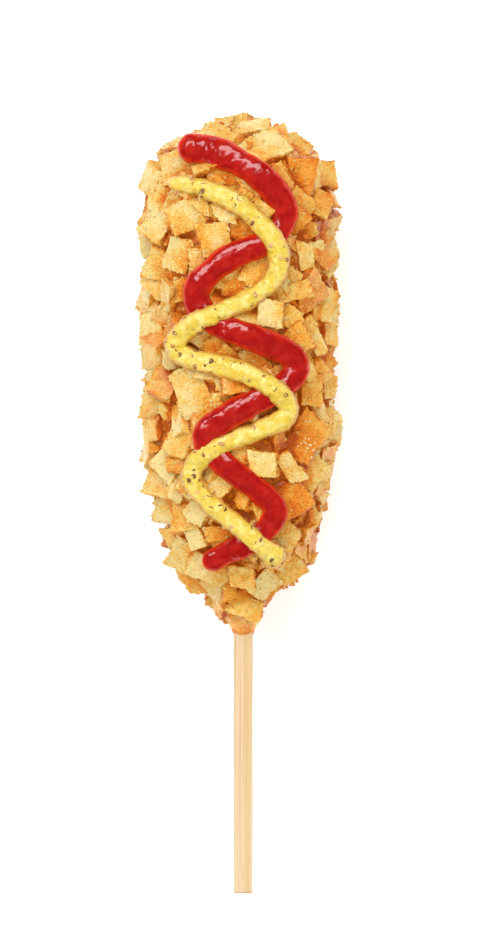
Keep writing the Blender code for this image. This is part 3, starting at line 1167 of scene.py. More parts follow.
D, P, B, S = Cut.DIE, Cut.PLANK, Cut.BATON, Cut.SHARD
SHOWN_PIECES = (
    ShownPiece(D, -9.4, 105.6, 11.5, 6.8, 0, 0.35, 0.6),
    ShownPiece(D, -1.2, 105.2, 7.0, 6.6, -10, 0.75),
    ShownPiece(P, 8.0, 105.8, 11.0, 6.0, -5, 0.5, 0.6),
    ShownPiece(P, 7.4, 100.4, 12.5, 10.0, 40, 0.1, 0.8),
    ShownPiece(D, 17.6, 101.0, 8.5, 8.0, -35, 0.35),
    ShownPiece(D, -17.2, 102.0, 8.0, 7.0, 25, 0.25),
    ShownPiece(P, -15.8, 94.4, 10.0, 6.5, -15, 0.2, -1.0),
    ShownPiece(D, 23.6, 92.2, 8.5, 7.0, 80, 0.65, 0.6),
    ShownPiece(D, -24.2, 90.8, 9.0, 9.0, -22, 0.4, 1.2),
    ShownPiece(P, -4.6, 91.0, 9.5, 5.6, -8, 0.5, -0.6),
    ShownPiece(D, 3.2, 87.6, 6.5, 6.0, 15, 0.5, -0.6),
    ShownPiece(P, 17.2, 84.4, 8.5, 7.5, -30, 0.35),
    ShownPiece(D, 22.8, 84.0, 7.5, 7.5, -20, 0.65, 0.4),
    ShownPiece(P, -24.0, 82.0, 8.5, 6.8, 80, 0.1),
    ShownPiece(D, -15.2, 80.6, 11.0, 9.5, 20, 0.5, 0.8),
    ShownPiece(S, -4.8, 81.2, 9.5, 5.0, -45, 0.15, 1.4),
    ShownPiece(P, -26.0, 74.8, 9.5, 7.2, 105, 0.1, 2.0),
    ShownPiece(D, -7.4, 74.2, 10.0, 9.0, 12, 0.55, 0.6),
    ShownPiece(S, 19.4, 76.8, 8.0, 6.0, 20, 0.4),
    ShownPiece(P, -17.8, 70.2, 9.8, 8.5, 70, 0.2, 0.3),
    ShownPiece(D, -11.6, 68.4, 8.0, 7.5, 5, 0.6, -0.3),
    ShownPiece(B, 18.2, 69.2, 8.6, 4.4, 97, 0.1, 1.2),
    ShownPiece(D, 24.4, 67.0, 6.4, 6.4, 35, 0.15, 0.8),
    ShownPiece(P, 0.4, 62.2, 12.0, 9.0, 20, 0.5, -0.4),
    ShownPiece(B, 14.2, 59.6, 12.5, 5.0, 14, 0.15, 1.2),
    ShownPiece(P, 23.8, 55.8, 10.0, 7.4, 66, 0.25, 1.2),
    ShownPiece(D, 8.4, 53.6, 8.2, 7.4, -8, 0.0, 1.6),
    ShownPiece(P, 14.4, 52.4, 8.0, 6.0, -42, 0.25, 0.8),
    ShownPiece(B, 20.8, 46.8, 12.5, 4.4, -56, 0.2, 1.2),
    ShownPiece(D, 26.2, 47.8, 7.8, 6.0, 80, 0.3, 0.8),
    ShownPiece(D, -24.4, 49.6, 9.0, 8.0, 12, 0.15, 0.8),
    ShownPiece(P, -5.8, 44.4, 8.5, 7.5, 40, 0.4, -0.4),
    ShownPiece(D, -25.4, 41.0, 6.4, 6.0, 85, 0.2, 0.6),
    ShownPiece(S, 4.2, 40.4, 11.0, 5.0, -38, 0.2, 0.6),
    ShownPiece(S, -25.0, 34.0, 7.0, 6.4, 20, 0.5, 0.8),
    ShownPiece(P, -14.0, 32.2, 14.0, 10.4, 112, 0.05, 1.0),
    ShownPiece(B, -4.2, 33.2, 6.4, 4.0, -6, 0.3, 0.2),
    ShownPiece(D, 20.2, 31.6, 9.8, 7.4, 86, 0.4, 0.4),
    ShownPiece(D, 26.2, 33.0, 7.0, 5.0, 85, 0.3, 0.6),
    ShownPiece(P, -4.0, 29.4, 8.8, 4.6, 4, 0.2, 0.0),
    ShownPiece(B, -22.8, 28.4, 7.6, 5.0, -14, 0.3, 0.8),
    ShownPiece(P, 6.0, 24.4, 9.0, 6.4, 24, 0.35, -0.4),
    ShownPiece(P, 25.2, 23.2, 8.4, 7.2, 45, 0.15, 1.6),
    ShownPiece(D, -24.6, 20.8, 7.4, 7.2, 8, 0.5, 0.8),
    ShownPiece(P, 18.6, 17.8, 13.5, 10.5, 50, 0.85, 1.2),
    ShownPiece(D, 6.2, 11.4, 9.0, 6.8, -2, 0.0, 1.4),
    ShownPiece(D, -20.0, 11.0, 9.4, 8.8, -32, 0.1, 0.8),
    ShownPiece(B, 14.4, 10.4, 10.5, 4.4, -50, 0.25, 0.8),
    ShownPiece(B, 24.8, 8.4, 8.6, 4.6, 104, 0.4, 1.2),
    ShownPiece(D, -5.8, 6.4, 9.0, 8.0, -50, 0.35, -0.2),
    ShownPiece(B, 17.4, -0.2, 8.8, 4.8, 18, 0.35, 0.4),
    ShownPiece(P, -11.8, -2.4, 8.0, 6.0, -30, 0.0, 1.8),
    ShownPiece(S, 21.6, -4.6, 7.4, 5.4, 80, 0.25, 0.8),
    ShownPiece(P, 12.8, -8.4, 9.2, 8.0, -30, 0.3, 0.4),
    ShownPiece(B, -20.2, -9.4, 7.0, 3.4, -55, 0.6, 1.2),
    ShownPiece(D, -12.4, -9.6, 6.0, 5.8, 20, 0.1, 0.4),
    ShownPiece(P, -16.2, -14.6, 10.5, 9.0, 55, 0.15, 1.0),
    ShownPiece(B, -5.8, -8.6, 9.0, 4.8, 5, 0.6, -0.2),
    ShownPiece(P, -8.8, -18.6, 12.0, 8.6, -28, 0.2, 0.4),
    ShownPiece(P, 16.6, -17.8, 9.0, 6.0, 62, 0.2, 0.8),
    ShownPiece(D, 0.6, -20.0, 8.4, 8.0, 4, 0.5, 0.0),
    ShownPiece(P, 6.4, -22.2, 8.8, 8.4, 40, 0.0, 1.8),
    ShownPiece(P, -7.0, -23.6, 9.4, 7.0, -32, 0.2, 0.8),
    ShownPiece(D, 10.4, -22.6, 7.4, 6.0, 44, 0.95, 0.0),
    ShownPiece(P, 2.4, -28.8, 9.6, 7.2, -28, 0.35, 0.6),
)


@dataclass(frozen=True)
class Layer:
    """One scatter of potato over the body.

    Attributes:
        name: The piece's name.
        cuts: The first and the last cut that it is made of.
        spacing: The least distance between two pieces, in millimetres.
        lift: The lowest and the highest that a piece's middle is raised.
        tilt: How far a piece leans either way, in degrees.
        size: How large the pieces are beside their cuts.
        seed: Makes another scatter.
    """

    name: str
    cuts: tuple[Cut, Cut]
    spacing: float
    lift: tuple[float, float]
    tilt: float
    size: float
    seed: int


@dataclass
class PotatoCoat:
    """The pieces of potato that are fried onto the batter.

    Attributes:
        axis: The line that the body lies round.
        knife: Cuts the pieces.
        depth: How far under the skin the middle of a piece lies.
        room: How far the others keep from a piece with its own place.
        bed: How large the copies are that the batter rises round.
        sunk: How much deeper those copies lie.
        upward: How far the pieces are turned from outward to straight up.
        layers: The pieces whose places don't matter, largest first.
        seed: Makes another coat.
    """

    axis: Axis
    knife: PotatoKnife
    depth: float = 2.3
    room: float = 0.36
    bed: float = 0.9
    sunk: float = 1.1
    upward: float = 0.45
    layers: tuple[Layer, ...] = (
        Layer("potato_dice", (Cut.DIE, Cut.DIE), 9.6, (-0.8, 2.2), 28, 0.95, 3),
        Layer("potato_planks", (Cut.PLANK, Cut.BATON), 7.4, (-0.6, 2.4), 27, 0.98, 23),
        Layer("potato_chips", (Cut.PLANK, Cut.SHARD), 6.0, (-0.6, 2.4), 34, 0.88, 43),
        Layer("potato_bits", (Cut.BATON, Cut.SHARD), 5.0, (-1.8, 1.2), 50, 0.6, 83),
    )
    seed: int = 3

    def skin_mesh(self) -> bpy.types.Mesh:
        """The surface that the pieces lie on, pressed in where the body rests."""
        low, high = SKIN.length()
        rows, sides = 110, 96
        points = []
        for row in range(rows + 1):
            y = low + (high - low) * (1 - math.cos(math.pi * row / rows)) / 2
            for side in range(sides):
                angle = 2 * math.pi * side / sides
                reach = float(SKIN.radius(y)) - self.depth
                height = max(self.axis.z + reach * math.sin(angle), 3.0)
                points.append((self.axis.x + reach * math.cos(angle), y, height))
        faces = [
            (
                row * sides + side,
                (row + 1) * sides + side,
                (row + 1) * sides + (side + 1) % sides,
                row * sides + (side + 1) % sides,
            )
            for row in range(rows)
            for side in range(sides)
        ]
        faces.append([rows * sides + side for side in reversed(range(sides))])
        return mesh_from("potato_skin", np.array(points), faces)

    def _mark_room(self, skin: bpy.types.Mesh, laid: Sequence[bpy.types.Mesh]) -> None:
        """Stores as room where the next layer may go.

        Args:
            skin: The surface that the pieces lie on.
            laid: The pieces that are there already. The first layer, which has
                only the pieces with their own places, keeps its distance from
                them, and the later ones fill what is still open.
        """
        points, outward = positions(skin), normals(skin)
        left = np.ones(len(points))
        if len(laid) == 1:
            for piece in SHOWN_PIECES:
                middle = np.array(self._own_place(piece).translation)
                near = np.linalg.norm(points - middle, axis=1)
                left[near < self.room * (piece.long + piece.wide)] = 0.0
        else:
            cover = Ground(laid)
            for i, (point, out) in enumerate(zip(points, outward)):
                left[i] = cover.depth_under(point + out * 9.0, out) > 9.0 - self.depth + 1.6
        set_attribute(skin, "room", left)

    def _own_place(self, piece: ShownPiece) -> Matrix:
        """Where a piece with its own place lies, its length along local X."""
        reach = max(float(SKIN.radius(piece.y)), abs(piece.x) + 0.5)
        height = math.sqrt(reach**2 - (piece.x - self.axis.x) ** 2)
        angle = math.atan2(height, piece.x - self.axis.x)
        place = self.axis.place(SKIN, piece.y, angle, piece.lift - self.depth + 0.5, self.upward)
        along = Vector((math.cos(math.radians(piece.turn)), math.sin(math.radians(piece.turn)), 0))
        local = place.to_3x3().inverted() @ along
        return place @ Matrix.Rotation(math.atan2(local.y, local.x), 4, "Z")

    def own_points(self) -> bpy.types.Mesh:
        """The places, turns, sizes and tones of the pieces with their own place."""
        rng = random.Random(self.seed)
        places, turns, sizes, cuts, tones = [], [], [], [], []
        for piece in SHOWN_PIECES:
            matrix = self._own_place(piece)
            lean = Matrix.Rotation(math.radians(rng.uniform(-11, 11)), 4, "X")
            pitch = Matrix.Rotation(math.radians(rng.uniform(-11, 11)), 4, "Y")
            flipped = Matrix.Rotation(rng.choice((0, math.pi)), 4, "Z")
            matrix = matrix @ lean @ pitch @ flipped
            long, wide, _ = piece.cut.value
            places.append(tuple(matrix.translation))
            turns.append(tuple(matrix.to_euler()))
            sizes.append((piece.long / long, piece.wide / wide, rng.uniform(0.9, 1.1)))
            cuts.append(rng.randint(*self.knife.numbers(piece.cut)))
            tones.append(piece.tone)
        mesh = mesh_from("own_places", np.array(places), [])
        for name, values in (("turn", turns), ("size", sizes)):
            attribute = mesh.attributes.new(name, "FLOAT_VECTOR", "POINT")
            attribute.data.foreach_set("vector", np.array(values, np.float32).ravel())
        number = mesh.attributes.new("cut", "INT", "POINT")
        number.data.foreach_set("value", cuts)
        set_attribute(mesh, "tone", np.array(tones))
        return mesh

    def placing_tree(self) -> GeometryTree:
        """Puts a chosen piece at each point, turned and sized as the point says."""
        tree = GeometryTree("place_potato")
        cuts = tree.takes("Cuts", "NodeSocketCollection")
        grow = tree.takes("Grow", "NodeSocketFloat")
        finish = tree.takes("Finish", "NodeSocketMaterial")
        points = tree.add("GeometryNodeMeshToPoints", {}, {"Mesh": tree.geometry()})
        size = tree.scaled(tree.named("size", "FLOAT_VECTOR"), grow)
        pieces = tree.instances(
            points,
            cuts,
            tree.named("cut", "INT"),
            tree.named("turn", "FLOAT_VECTOR"),
            size,
        )
        tree.gives_real(pieces, finish)
        return tree

    def make(self, surface: bpy.types.Material) -> tuple[list, list]:
        """All the pieces, and smaller copies of them for the batter to rise round.

        Args:
            surface: The potato's material.

        Returns:
            The meshes to show, and the meshes of the smaller copies.
        """
        fine, plain = self.knife.make("fine_cut", 15), self.knife.make("plain_cut", 10)
        skin = add_object("potato_skin", self.skin_mesh())
        own = add_object("own_places", self.own_points())
        placing, scatter = self.placing_tree(), scatter_tree("scatter_potato")
        shown_meshes, beds = [], []
        for cuts, grow, sunk, target in ((fine, 1.0, 0.0, shown_meshes), (plain, self.bed, self.sunk, beds)):
            mesh = placing.run(own, "potato_front", {"Cuts": cuts, "Grow": grow, "Finish": surface})
            target.append(self._settled(mesh, sunk))
        for layer in self.layers:
            self._mark_room(skin.data, shown_meshes)
            first, last = (self.knife.numbers(cut) for cut in layer.cuts)
            for grow, sunk, target in ((1.0, 0.0, shown_meshes), (self.bed, self.sunk, beds)):
                values = {
                    "Shapes": plain,
                    "First": first[0],
                    "Last": last[1],
                    "Spacing": layer.spacing * MM,
                    "Lowest": layer.lift[0] * MM,
                    "Highest": layer.lift[1] * MM,
                    "Tilt": math.radians(layer.tilt),
                    "Upward": self.upward,
                    "Smallest": layer.size * grow * 0.8,
                    "Largest": layer.size * grow * 1.15,
                    "Seed": layer.seed,
                    "Finish": surface,
                }
                target.append(self._settled(scatter.run(skin, layer.name, values), sunk))
        for helper in (skin, own, *fine.objects, *plain.objects):
            bpy.data.objects.remove(helper)
        return shown_meshes, beds

    def _settled(self, mesh: bpy.types.Mesh, sunk: float) -> bpy.types.Mesh:
        """Sinks a mesh towards the axis, keeps it over the table, and notes where its colour gets painted
        shade.

        Args:
            mesh: Some of the pieces.
            sunk: How far they sink, in millimetres.

        Returns:
            The mesh, whose points now carry how deep they lie, as buried, where the finish paints
            shade and a glow, and how far they are to the right, where the finish paints shade.
        """
        points = positions(mesh)
        across = points[:, (0, 2)] - (self.axis.x, self.axis.z)
        reach = np.maximum(np.linalg.norm(across, axis=1), 1e-6)
        points[:, (0, 2)] -= across / reach[:, None] * sunk
        set_positions(mesh, pressed(points))
        skin = SKIN.radius(points[:, 1])
        set_attribute(mesh, "buried", np.clip((skin + 0.6 - reach) / 4.6, 0, 1))
        # Painted shade: how far right a point lies, which the potato finish turns darker on the right and
        # paler on the left.
        set_attribute(mesh, "browned", np.clip(across[:, 0] / 16, -1, 1))
        return mesh


@dataclass(frozen=True)
class Crumbs:
    """Broken bits of potato and crust.

    Attributes:
        name: The piece's name.
        spacing: The least distance between two, in millimetres.
        smallest: The size of the smallest.
        largest: The size of the largest.
        tone: How brown the brownest fried, from 0 to 1.
        fineness: How often a bit's twenty faces are split.
        seed: Makes another scatter.
    """

    name: str
    spacing: float
    smallest: float
    largest: float
    tone: float
    fineness: int
    seed: int

    def shapes(self) -> bpy.types.Collection:
        """Twelve rough bits about a millimetre long, each centred on the origin."""
        tray = bpy.data.collections.new(f"{self.name}_shapes")
        rng = random.Random(self.seed)
        for number in range(12):
            bm = bmesh.new()
            bmesh.ops.create_icosphere(bm, subdivisions=self.fineness, radius=0.55)
            shape = Vector((rng.uniform(0.8, 1.4), rng.uniform(0.6, 1.0), rng.uniform(0.35, 0.8)))
            turn = Vector((rng.uniform(0, 9), rng.uniform(0, 9), 0))
            for vertex in bm.verts:
                place = vertex.co * 2.4 + turn
                dent = Vector([noise.noise(place + Vector((0, 0, 7.0 * way))) for way in range(3)]) * 0.36
                vertex.co = Vector([c * f for c, f in zip(vertex.co + dent, shape)]) * MM
            mesh = bpy.data.meshes.new(f"{self.name}_{number:02d}")
            bm.to_mesh(mesh)
            bm.free()
            set_attribute(mesh, "rim", np.full(len(mesh.vertices), 0.5))
            tray.objects.link(bpy.data.objects.new(mesh.name, mesh))
        return tray

    def lay(self, under: bpy.types.Object, buried: float, surface: bpy.types.Material) -> bpy.types.Mesh:
        """Lays the bits where the points of what is under them have room.

        Args:
            under: What they lie on.
            buried: How deep between the pieces they count as, from 0 to 1, which sets how much painted shade
                and painted glow the potato finish gives them.
            surface: The potato's material.

        Returns:
            One mesh of all the bits.
        """
        shapes = self.shapes()
        values = {
            "Shapes": shapes,
            "First": 0,
            "Last": 11,
            "Spacing": self.spacing * MM,
            "Lowest": 0.0,
            "Highest": self.largest * 0.2 * MM,
            "Tilt": 1.2,
            "Upward": 0.0,
            "Smallest": self.smallest,
            "Largest": self.largest,
            "Seed": self.seed,
            "Finish": surface,
        }
        mesh = scatter_tree(f"scatter_{self.name}").run(under, self.name, values)
        for helper in list(shapes.objects):
            bpy.data.objects.remove(helper)
        set_positions(mesh, pressed(positions(mesh)))
        set_attribute(mesh, "buried", np.full(len(mesh.vertices), buried))
        set_attribute(mesh, "tone", values_of(mesh, "tone") * self.tone)
        return mesh


CRUMBS = Crumbs("potato_crumbs", 2.3, 0.8, 2.4, 0.7, 2, 12)
GRAINS = Crumbs("potato_grains", 1.2, 0.4, 1.0, 0.4, 1, 31)


def crumbs_in_gaps(
    batter: bpy.types.Object, cover: "Ground", surface: bpy.types.Material
) -> bpy.types.Mesh:
    """Crumbs wherever the batter shows between the pieces.

    Args:
        batter: What they lie on.
        cover: The pieces of potato.
        surface: The potato's material.

    Returns:
        One mesh of all the crumbs.
    """
    points, outward = positions(batter.data), normals(batter.data)
    spread = np.array([not cover.holds(*pair) for pair in zip(points, outward)], float)
    set_attribute(batter.data, "room", spread * (points[:, 1] > -33.0))
    # The crumbs count as partly buried, so they get painted shade and a painted glow.
    return CRUMBS.lay(batter, 0.35, surface)


def grains_on_pieces(
    meshes: Sequence[bpy.types.Mesh], axis: Axis, surface: bpy.types.Material
) -> bpy.types.Mesh:
    """Grains of crust that stick to the outside of the pieces, most along their edges.

    Args:
        meshes: The pieces of potato.
        axis: The line that the body lies round.
        surface: The potato's material.

    Returns:
        One mesh of all the grains.
    """
    whole = joined("potato_joined", meshes)
    across = (positions(whole) - (axis.x, 0, axis.z)) * (1, 0, 1)
    across /= np.maximum(np.linalg.norm(across, axis=1, keepdims=True), 1e-6)
    facing = np.sum(across * normals(whole), axis=1) > 0.15
    in_air = values_of(whole, "buried") < 0.4
    set_attribute(whole, "room", facing * in_air * (values_of(whole, "rim") * 0.75 + 0.25))
    under = add_object("potato_joined", whole)
    grains = GRAINS.lay(under, 0.05, surface)
    bpy.data.objects.remove(under)
    return grains


@dataclass(frozen=True)
class Salt:
    """A pinch of salt that lies on one brown-fried plank.

    Attributes:
        x: Its middle across the body.
        y: Its middle along the body.
        spread: How widely the crystals lie round that, in millimetres.
        count: How many crystals there are.
        seed: Makes another pinch.
    """

    x: float = 18.2
    y: float = 16.4
    spread: float = 2.0
    count: int = 18
    seed: int = 4

    def make(self, ground: "Ground", surface: bpy.types.Material) -> bpy.types.Object:
        """The crystals, each a small rough block resting on what is under it."""
        rng = random.Random(self.seed)
        bm = bmesh.new()
        for _ in range(self.count):
            x, y = (middle + rng.gauss(0, self.spread) for middle in (self.x, self.y))
            size = [rng.uniform(0.3, 0.65) for _ in range(3)]
            turn = Euler([rng.uniform(0, math.pi) for _ in range(3)]).to_matrix().to_4x4()
            place = Matrix.Translation((x, y, ground.height(x, y) + min(size) * 0.1))
            block = bmesh.ops.create_cube(bm, size=1.0, matrix=place @ turn @ Matrix.Diagonal((*size, 1)))
            bmesh.ops.bevel(
                bm,
                geom=list({edge for vertex in block["verts"] for edge in vertex.link_edges}),
                offset=0.1,
                segments=1,
                affect="EDGES",
            )
        bmesh.ops.scale(bm, vec=(MM, MM, MM), verts=bm.verts)
        mesh = bpy.data.meshes.new("salt")
        bm.to_mesh(mesh)
        bm.free()
        return shown("salt", mesh, surface)


# --------------------------------------------------------------------------
# Batter
# --------------------------------------------------------------------------


@dataclass
class Batter:
    """The fried core, which rises round the potato and narrows to the stick.

    Attributes:
        axis: The line that the body lies round.
        voxel: The size of its faces, in millimetres.
    """

    axis: Axis
    voxel: float = 0.8

    def core_mesh(self) -> bpy.types.Mesh:
        """The core, round at the crown and nearly square at the stick."""
        low, high = CORE.length()
        rows, sides = 120, 72
        points, faces = [], []
        for row in range(rows + 1):
            y = low + (high - low) * (1 - math.cos(math.pi * row / rows)) / 2
            square = 2.0 + 3.0 * min(1.0, max(0.0, (-22.0 - y) / 14.0))
            shift = (self.axis.stick_x - self.axis.x) * (square - 2.0) / 3.0
            for side in range(sides):
                angle = 2 * math.pi * side / sides
                c, s = math.cos(angle), math.sin(angle)
                corner = (abs(c) ** square + abs(s) ** square) ** (1 / square)
                reach = float(CORE.radius(y)) / corner
                points.append((self.axis.x + shift + reach * c, y, self.axis.z + reach * s))
        for row in range(rows):
            for side in range(sides):
                after = (side + 1) % sides
                faces.append(
                    (
                        row * sides + side,
                        (row + 1) * sides + side,
                        (row + 1) * sides + after,
                        row * sides + after,
                    )
                )
        faces.append([side for side in range(sides)])
        faces.append([rows * sides + side for side in reversed(range(sides))])
        grid = np.array(points)
        body = grid - (self.axis.x, 0, self.axis.z)
        body[:, 1] = 0
        swell = ripple(grid, 9.0, 4.0, 2) * 1.1 + ripple(grid, 2.4, 9.0, 2) * 0.45
        reach = np.linalg.norm(body, axis=1, keepdims=True)
        thick = np.clip((reach[:, 0] - 2.6) / 8.0, 0.12, 1.0)
        grid += body / np.maximum(reach, 1e-6) * (swell * thick)[:, None]
        return mesh_from("batter_core", grid, faces)

    def make(self, beds: Sequence[bpy.types.Mesh], surface: bpy.types.Material) -> bpy.types.Object:
        """The batter with a fillet round every piece of potato.

        Args:
            beds: The smaller copies of the potato.
            surface: The batter's material.

        Returns:
            The finished object.
        """
        shapes = joined("batter_shapes", (self.core_mesh(), *beds))
        skin = voxel_skin(shapes, "batter_body", self.voxel, 5)
        points = positions(skin)
        swell = ripple(points, 2.0, 21.0, 2) * 0.42
        points = pressed(points + normals(skin) * swell[:, None])
        set_positions(skin, points)
        across = points[:, (0, 2)] - (self.axis.x, self.axis.z)
        reach = np.linalg.norm(across, axis=1)
        neck = np.clip((-22.0 - points[:, 1]) / 6.0, 0, 1)
        # How far the batter rises over the core; where it stays low, the finish paints it brown as shade.
        raised = np.clip((reach - CORE.radius(points[:, 1])) / 3.5, 0, 1)
        set_attribute(skin, "raised", np.maximum(raised, neck))
        set_attribute(skin, "rim", np.clip((-34.0 - points[:, 1]) / 2.8, 0, 1))
        return shown("batter_body", skin, surface)


# --------------------------------------------------------------------------
# Sauces
# --------------------------------------------------------------------------


def smooth_line(points: Sequence[Sequence[float]], step: float) -> np.ndarray:
    """Evenly spaced points on a Catmull-Rom curve.

    Args:
        points: The points that the curve passes through, of any width. The
            first two values are its place.
        step: How far apart the new points are.

    Returns:
        One row for each new point.
    """
    ends = np.array([points[0], *points, points[-1]], float)
    dense = []
    for a, b, c, d in zip(ends, ends[1:], ends[2:], ends[3:]):
        for t in np.linspace(0, 1, 24, endpoint=False):
            dense.append(
                b
                + 0.5 * t * (c - a)
                + 0.5 * t**2 * (2 * a - 5 * b + 4 * c - d)
                + 0.5 * t**3 * (3 * b - a - 3 * c + d)
            )
    dense.append(ends[-1])
    line = np.array(dense)
    travelled = np.concatenate([[0], np.cumsum(np.linalg.norm(np.diff(line[:, :2], axis=0), axis=1))])
    stations = np.linspace(0, travelled[-1], max(2, round(travelled[-1] / step)))
    return np.column_stack([np.interp(stations, travelled, column) for column in line.T])


def softened(values: np.ndarray, reach: float) -> np.ndarray:
    """Values along a line, averaged over a Gaussian window of some stations."""
    span = np.arange(-int(3 * reach), int(3 * reach) + 1)
    weights = np.exp(-0.5 * (span / reach) ** 2)
    padded = np.pad(values, len(span) // 2, mode="edge")
    return np.convolve(padded, weights / weights.sum(), mode="valid")


@dataclass
class SauceBead:
    """A line of sauce that lies over the bumps under it.

    Attributes:
        name: The piece's name.
        line: (across X, along Y, half width) in millimetres.
        flatness: The bead's height over its width.
        sag: How far it sinks into the gaps at its edges.
        sink: How far its underside presses into what it lies on.
        lumps: How high the lumps in its surface are.
        uneven: By what share its width varies.
        step: The distance between its rings.
        voxel: The size of its faces.
        seed: Makes another bead.
    """

    name: str
    line: tuple[tuple[float, float, float], ...]
    flatness: float
    sag: float
    sink: float
    lumps: float
    uneven: float
    step: float = 0.7
    voxel: float = 0.36
    seed: int = 1

    def path(self, ground: Ground) -> np.ndarray:
        """Rows of x, y, height of the middle, and half width."""
        line = smooth_line(self.line, self.step)
        x, y, half = line.T
        along = np.gradient(line[:, :2], axis=0)
        along /= np.linalg.norm(along, axis=1, keepdims=True)
        side = np.column_stack([-along[:, 1], along[:, 0]])
        stations = np.column_stack([x, y, np.zeros(len(x))])
        half = half * (1 + self.uneven * ripple(stations, 5.5, self.seed, 2))
        shares = np.linspace(-0.7, 0.7, 7)
        floor = np.array(
            [
                [ground.height(*(line[i, :2] + side[i] * half[i] * share)) for share in shares]
                for i in range(len(line))
            ]
        )
        typical = np.sort(floor, axis=1)[:, 3:].mean(axis=1)
        level = softened(typical, 3.0 / self.step)
        needed = floor[:, 1:-1].max(axis=1) - half * self.flatness * 0.85
        level = np.maximum(level + half * self.flatness - self.sink, needed)
        return np.column_stack([x, y, softened(level, 2.6 / self.step), half])

    def make(self, ground: Ground, surface: bpy.types.Material) -> bpy.types.Object:
        """The bead, closed and smooth, its underside down on what it lies on.

        Args:
            ground: What it lies on.
            surface: Its material.

        Returns:
            The finished object.
        """
        path = self.path(ground)
        sides = 28
        angles = np.linspace(0, 2 * math.pi, sides, endpoint=False)
        along = np.gradient(path[:, :2], axis=0)
        along /= np.linalg.norm(along, axis=1, keepdims=True)
        caps = 7
        rings = []
        for i in (*[0] * caps, *range(len(path)), *[len(path) - 1] * caps):
            rings.append(path[i])
        latitudes = np.linspace(math.pi / 2, 0, caps, endpoint=False)
        shrink = np.ones(len(rings))
        push = np.zeros(len(rings))
        shrink[:caps], push[:caps] = np.cos(latitudes), -np.sin(latitudes)
        shrink[-caps:], push[-caps:] = np.cos(latitudes[::-1]), np.sin(latitudes[::-1])
        directions = np.concatenate([[along[0]] * caps, along, [along[-1]] * caps])
        points = []
        for ring, size, forward, direction in zip(rings, shrink, push, directions):
            x, y, z, half = ring
            size = max(size, 0.02)
            side = np.array([-direction[1], direction[0]])
            middle = np.array([x, y]) + direction * half * forward
            for angle in angles:
                across = half * size * math.sin(angle)
                up = half * size * self.flatness * math.cos(angle)
                spot = middle + side * across
                height = z + up
                if math.cos(angle) < 0.15:
                    lowest = z - half * self.flatness - self.sag * size
                    floor = ground.height(*spot) - 0.35
                    height = min(height, max(floor, lowest))
                points.append((*spot, height))
        count = len(rings)
        faces = [
            (
                ring * sides + side,
                ring * sides + (side + 1) % sides,
                (ring + 1) * sides + (side + 1) % sides,
                (ring + 1) * sides + side,
            )
            for ring in range(count - 1)
            for side in range(sides)
        ]
        faces.append([side for side in reversed(range(sides))])
        faces.append([(count - 1) * sides + side for side in range(sides)])
        rough = mesh_from(self.name + "_rings", np.array(points), faces)
        skin = voxel_skin(rough, self.name, self.voxel, 4)
        points = positions(skin)
        swell = ripple(points, 2.2, self.seed + 0.5, 2) * self.lumps
        points += normals(skin) * swell[:, None]
        set_positions(skin, points)
        set_attribute(skin, "edge", self._edge(points, path))
        return shown(self.name, skin, surface)

    @staticmethod
    def _edge(points: np.ndarray, path: np.ndarray) -> np.ndarray:
        """How near each point is to the bead's sides, from 0 in its middle to 1."""
        edge = np.zeros(len(points))
        for start in range(0, len(points), 4000):
            part = points[start : start + 4000, None, :2]
            away = np.linalg.norm(part - path[None, :, :2], axis=2)
            nearest = away.argmin(axis=1)
            share = away[np.arange(len(nearest)), nearest] / path[nearest, 3]
            edge[start : start + 4000] = np.clip((share - 0.4) / 0.6, 0, 1)
        return edge


KETCHUP_LINE = (
    (-13.2, 99.6, 4.2),
    (-7.0, 98.6, 4.1),
    (3.4, 93.2, 3.8),
    (10.4, 86.5, 4.0),
    (12.4, 80.5, 3.9),
    (8.4, 73.8, 3.5),
    (-2.2, 69.2, 3.7),
    (-10.0, 63.2, 3.9),
    (-12.2, 57.5, 3.8),
    (-7.5, 51.0, 3.5),
    (4.2, 46.2, 3.7),
    (13.4, 42.2, 3.8),
    (15.6, 37.4, 3.6),
    (10.0, 31.8, 3.5),
    (-3.9, 24.4, 3.8),
    (-9.6, 18.9, 3.7),
    (-5.5, 12.3, 3.3),
    (5.5, 3.6, 3.5),
    (9.9, -1.8, 3.5),
    (5.2, -8.8, 3.3),
    (-3.8, -13.5, 3.3),
    (-7.4, -15.4, 3.3),
)
MUSTARD_LINE = (
    (-18.2, 89.9, 1.9),
    (-14.6, 89.4, 2.6),
    (-9.8, 88.1, 2.9),
    (-1.4, 84.4, 2.9),
    (4.5, 79.4, 2.9),
    (9.0, 74.1, 3.1),
    (10.9, 69.0, 3.2),
    (9.5, 63.1, 3.0),
    (4.8, 58.9, 2.8),
    (-2.5, 55.0, 2.7),
    (-11.2, 51.4, 2.8),
    (-16.8, 47.2, 3.1),
    (-17.6, 43.3, 3.2),
    (-13.7, 40.7, 3.0),
    (-5.6, 38.8, 2.8),
    (2.2, 36.3, 2.8),
    (9.0, 32.6, 3.1),
    (13.2, 28.1, 3.1),
    (12.3, 24.2, 3.0),
    (6.2, 21.4, 2.8),
    (-2.5, 17.8, 2.7),
    (-9.8, 13.9, 2.8),
    (-13.2, 9.9, 2.9),
    (-12.9, 5.5, 2.9),
    (-8.1, 0.1, 2.8),
    (-0.8, -5.7, 2.7),
    (5.4, -11.0, 2.8),
    (9.2, -14.0, 3.5),
)


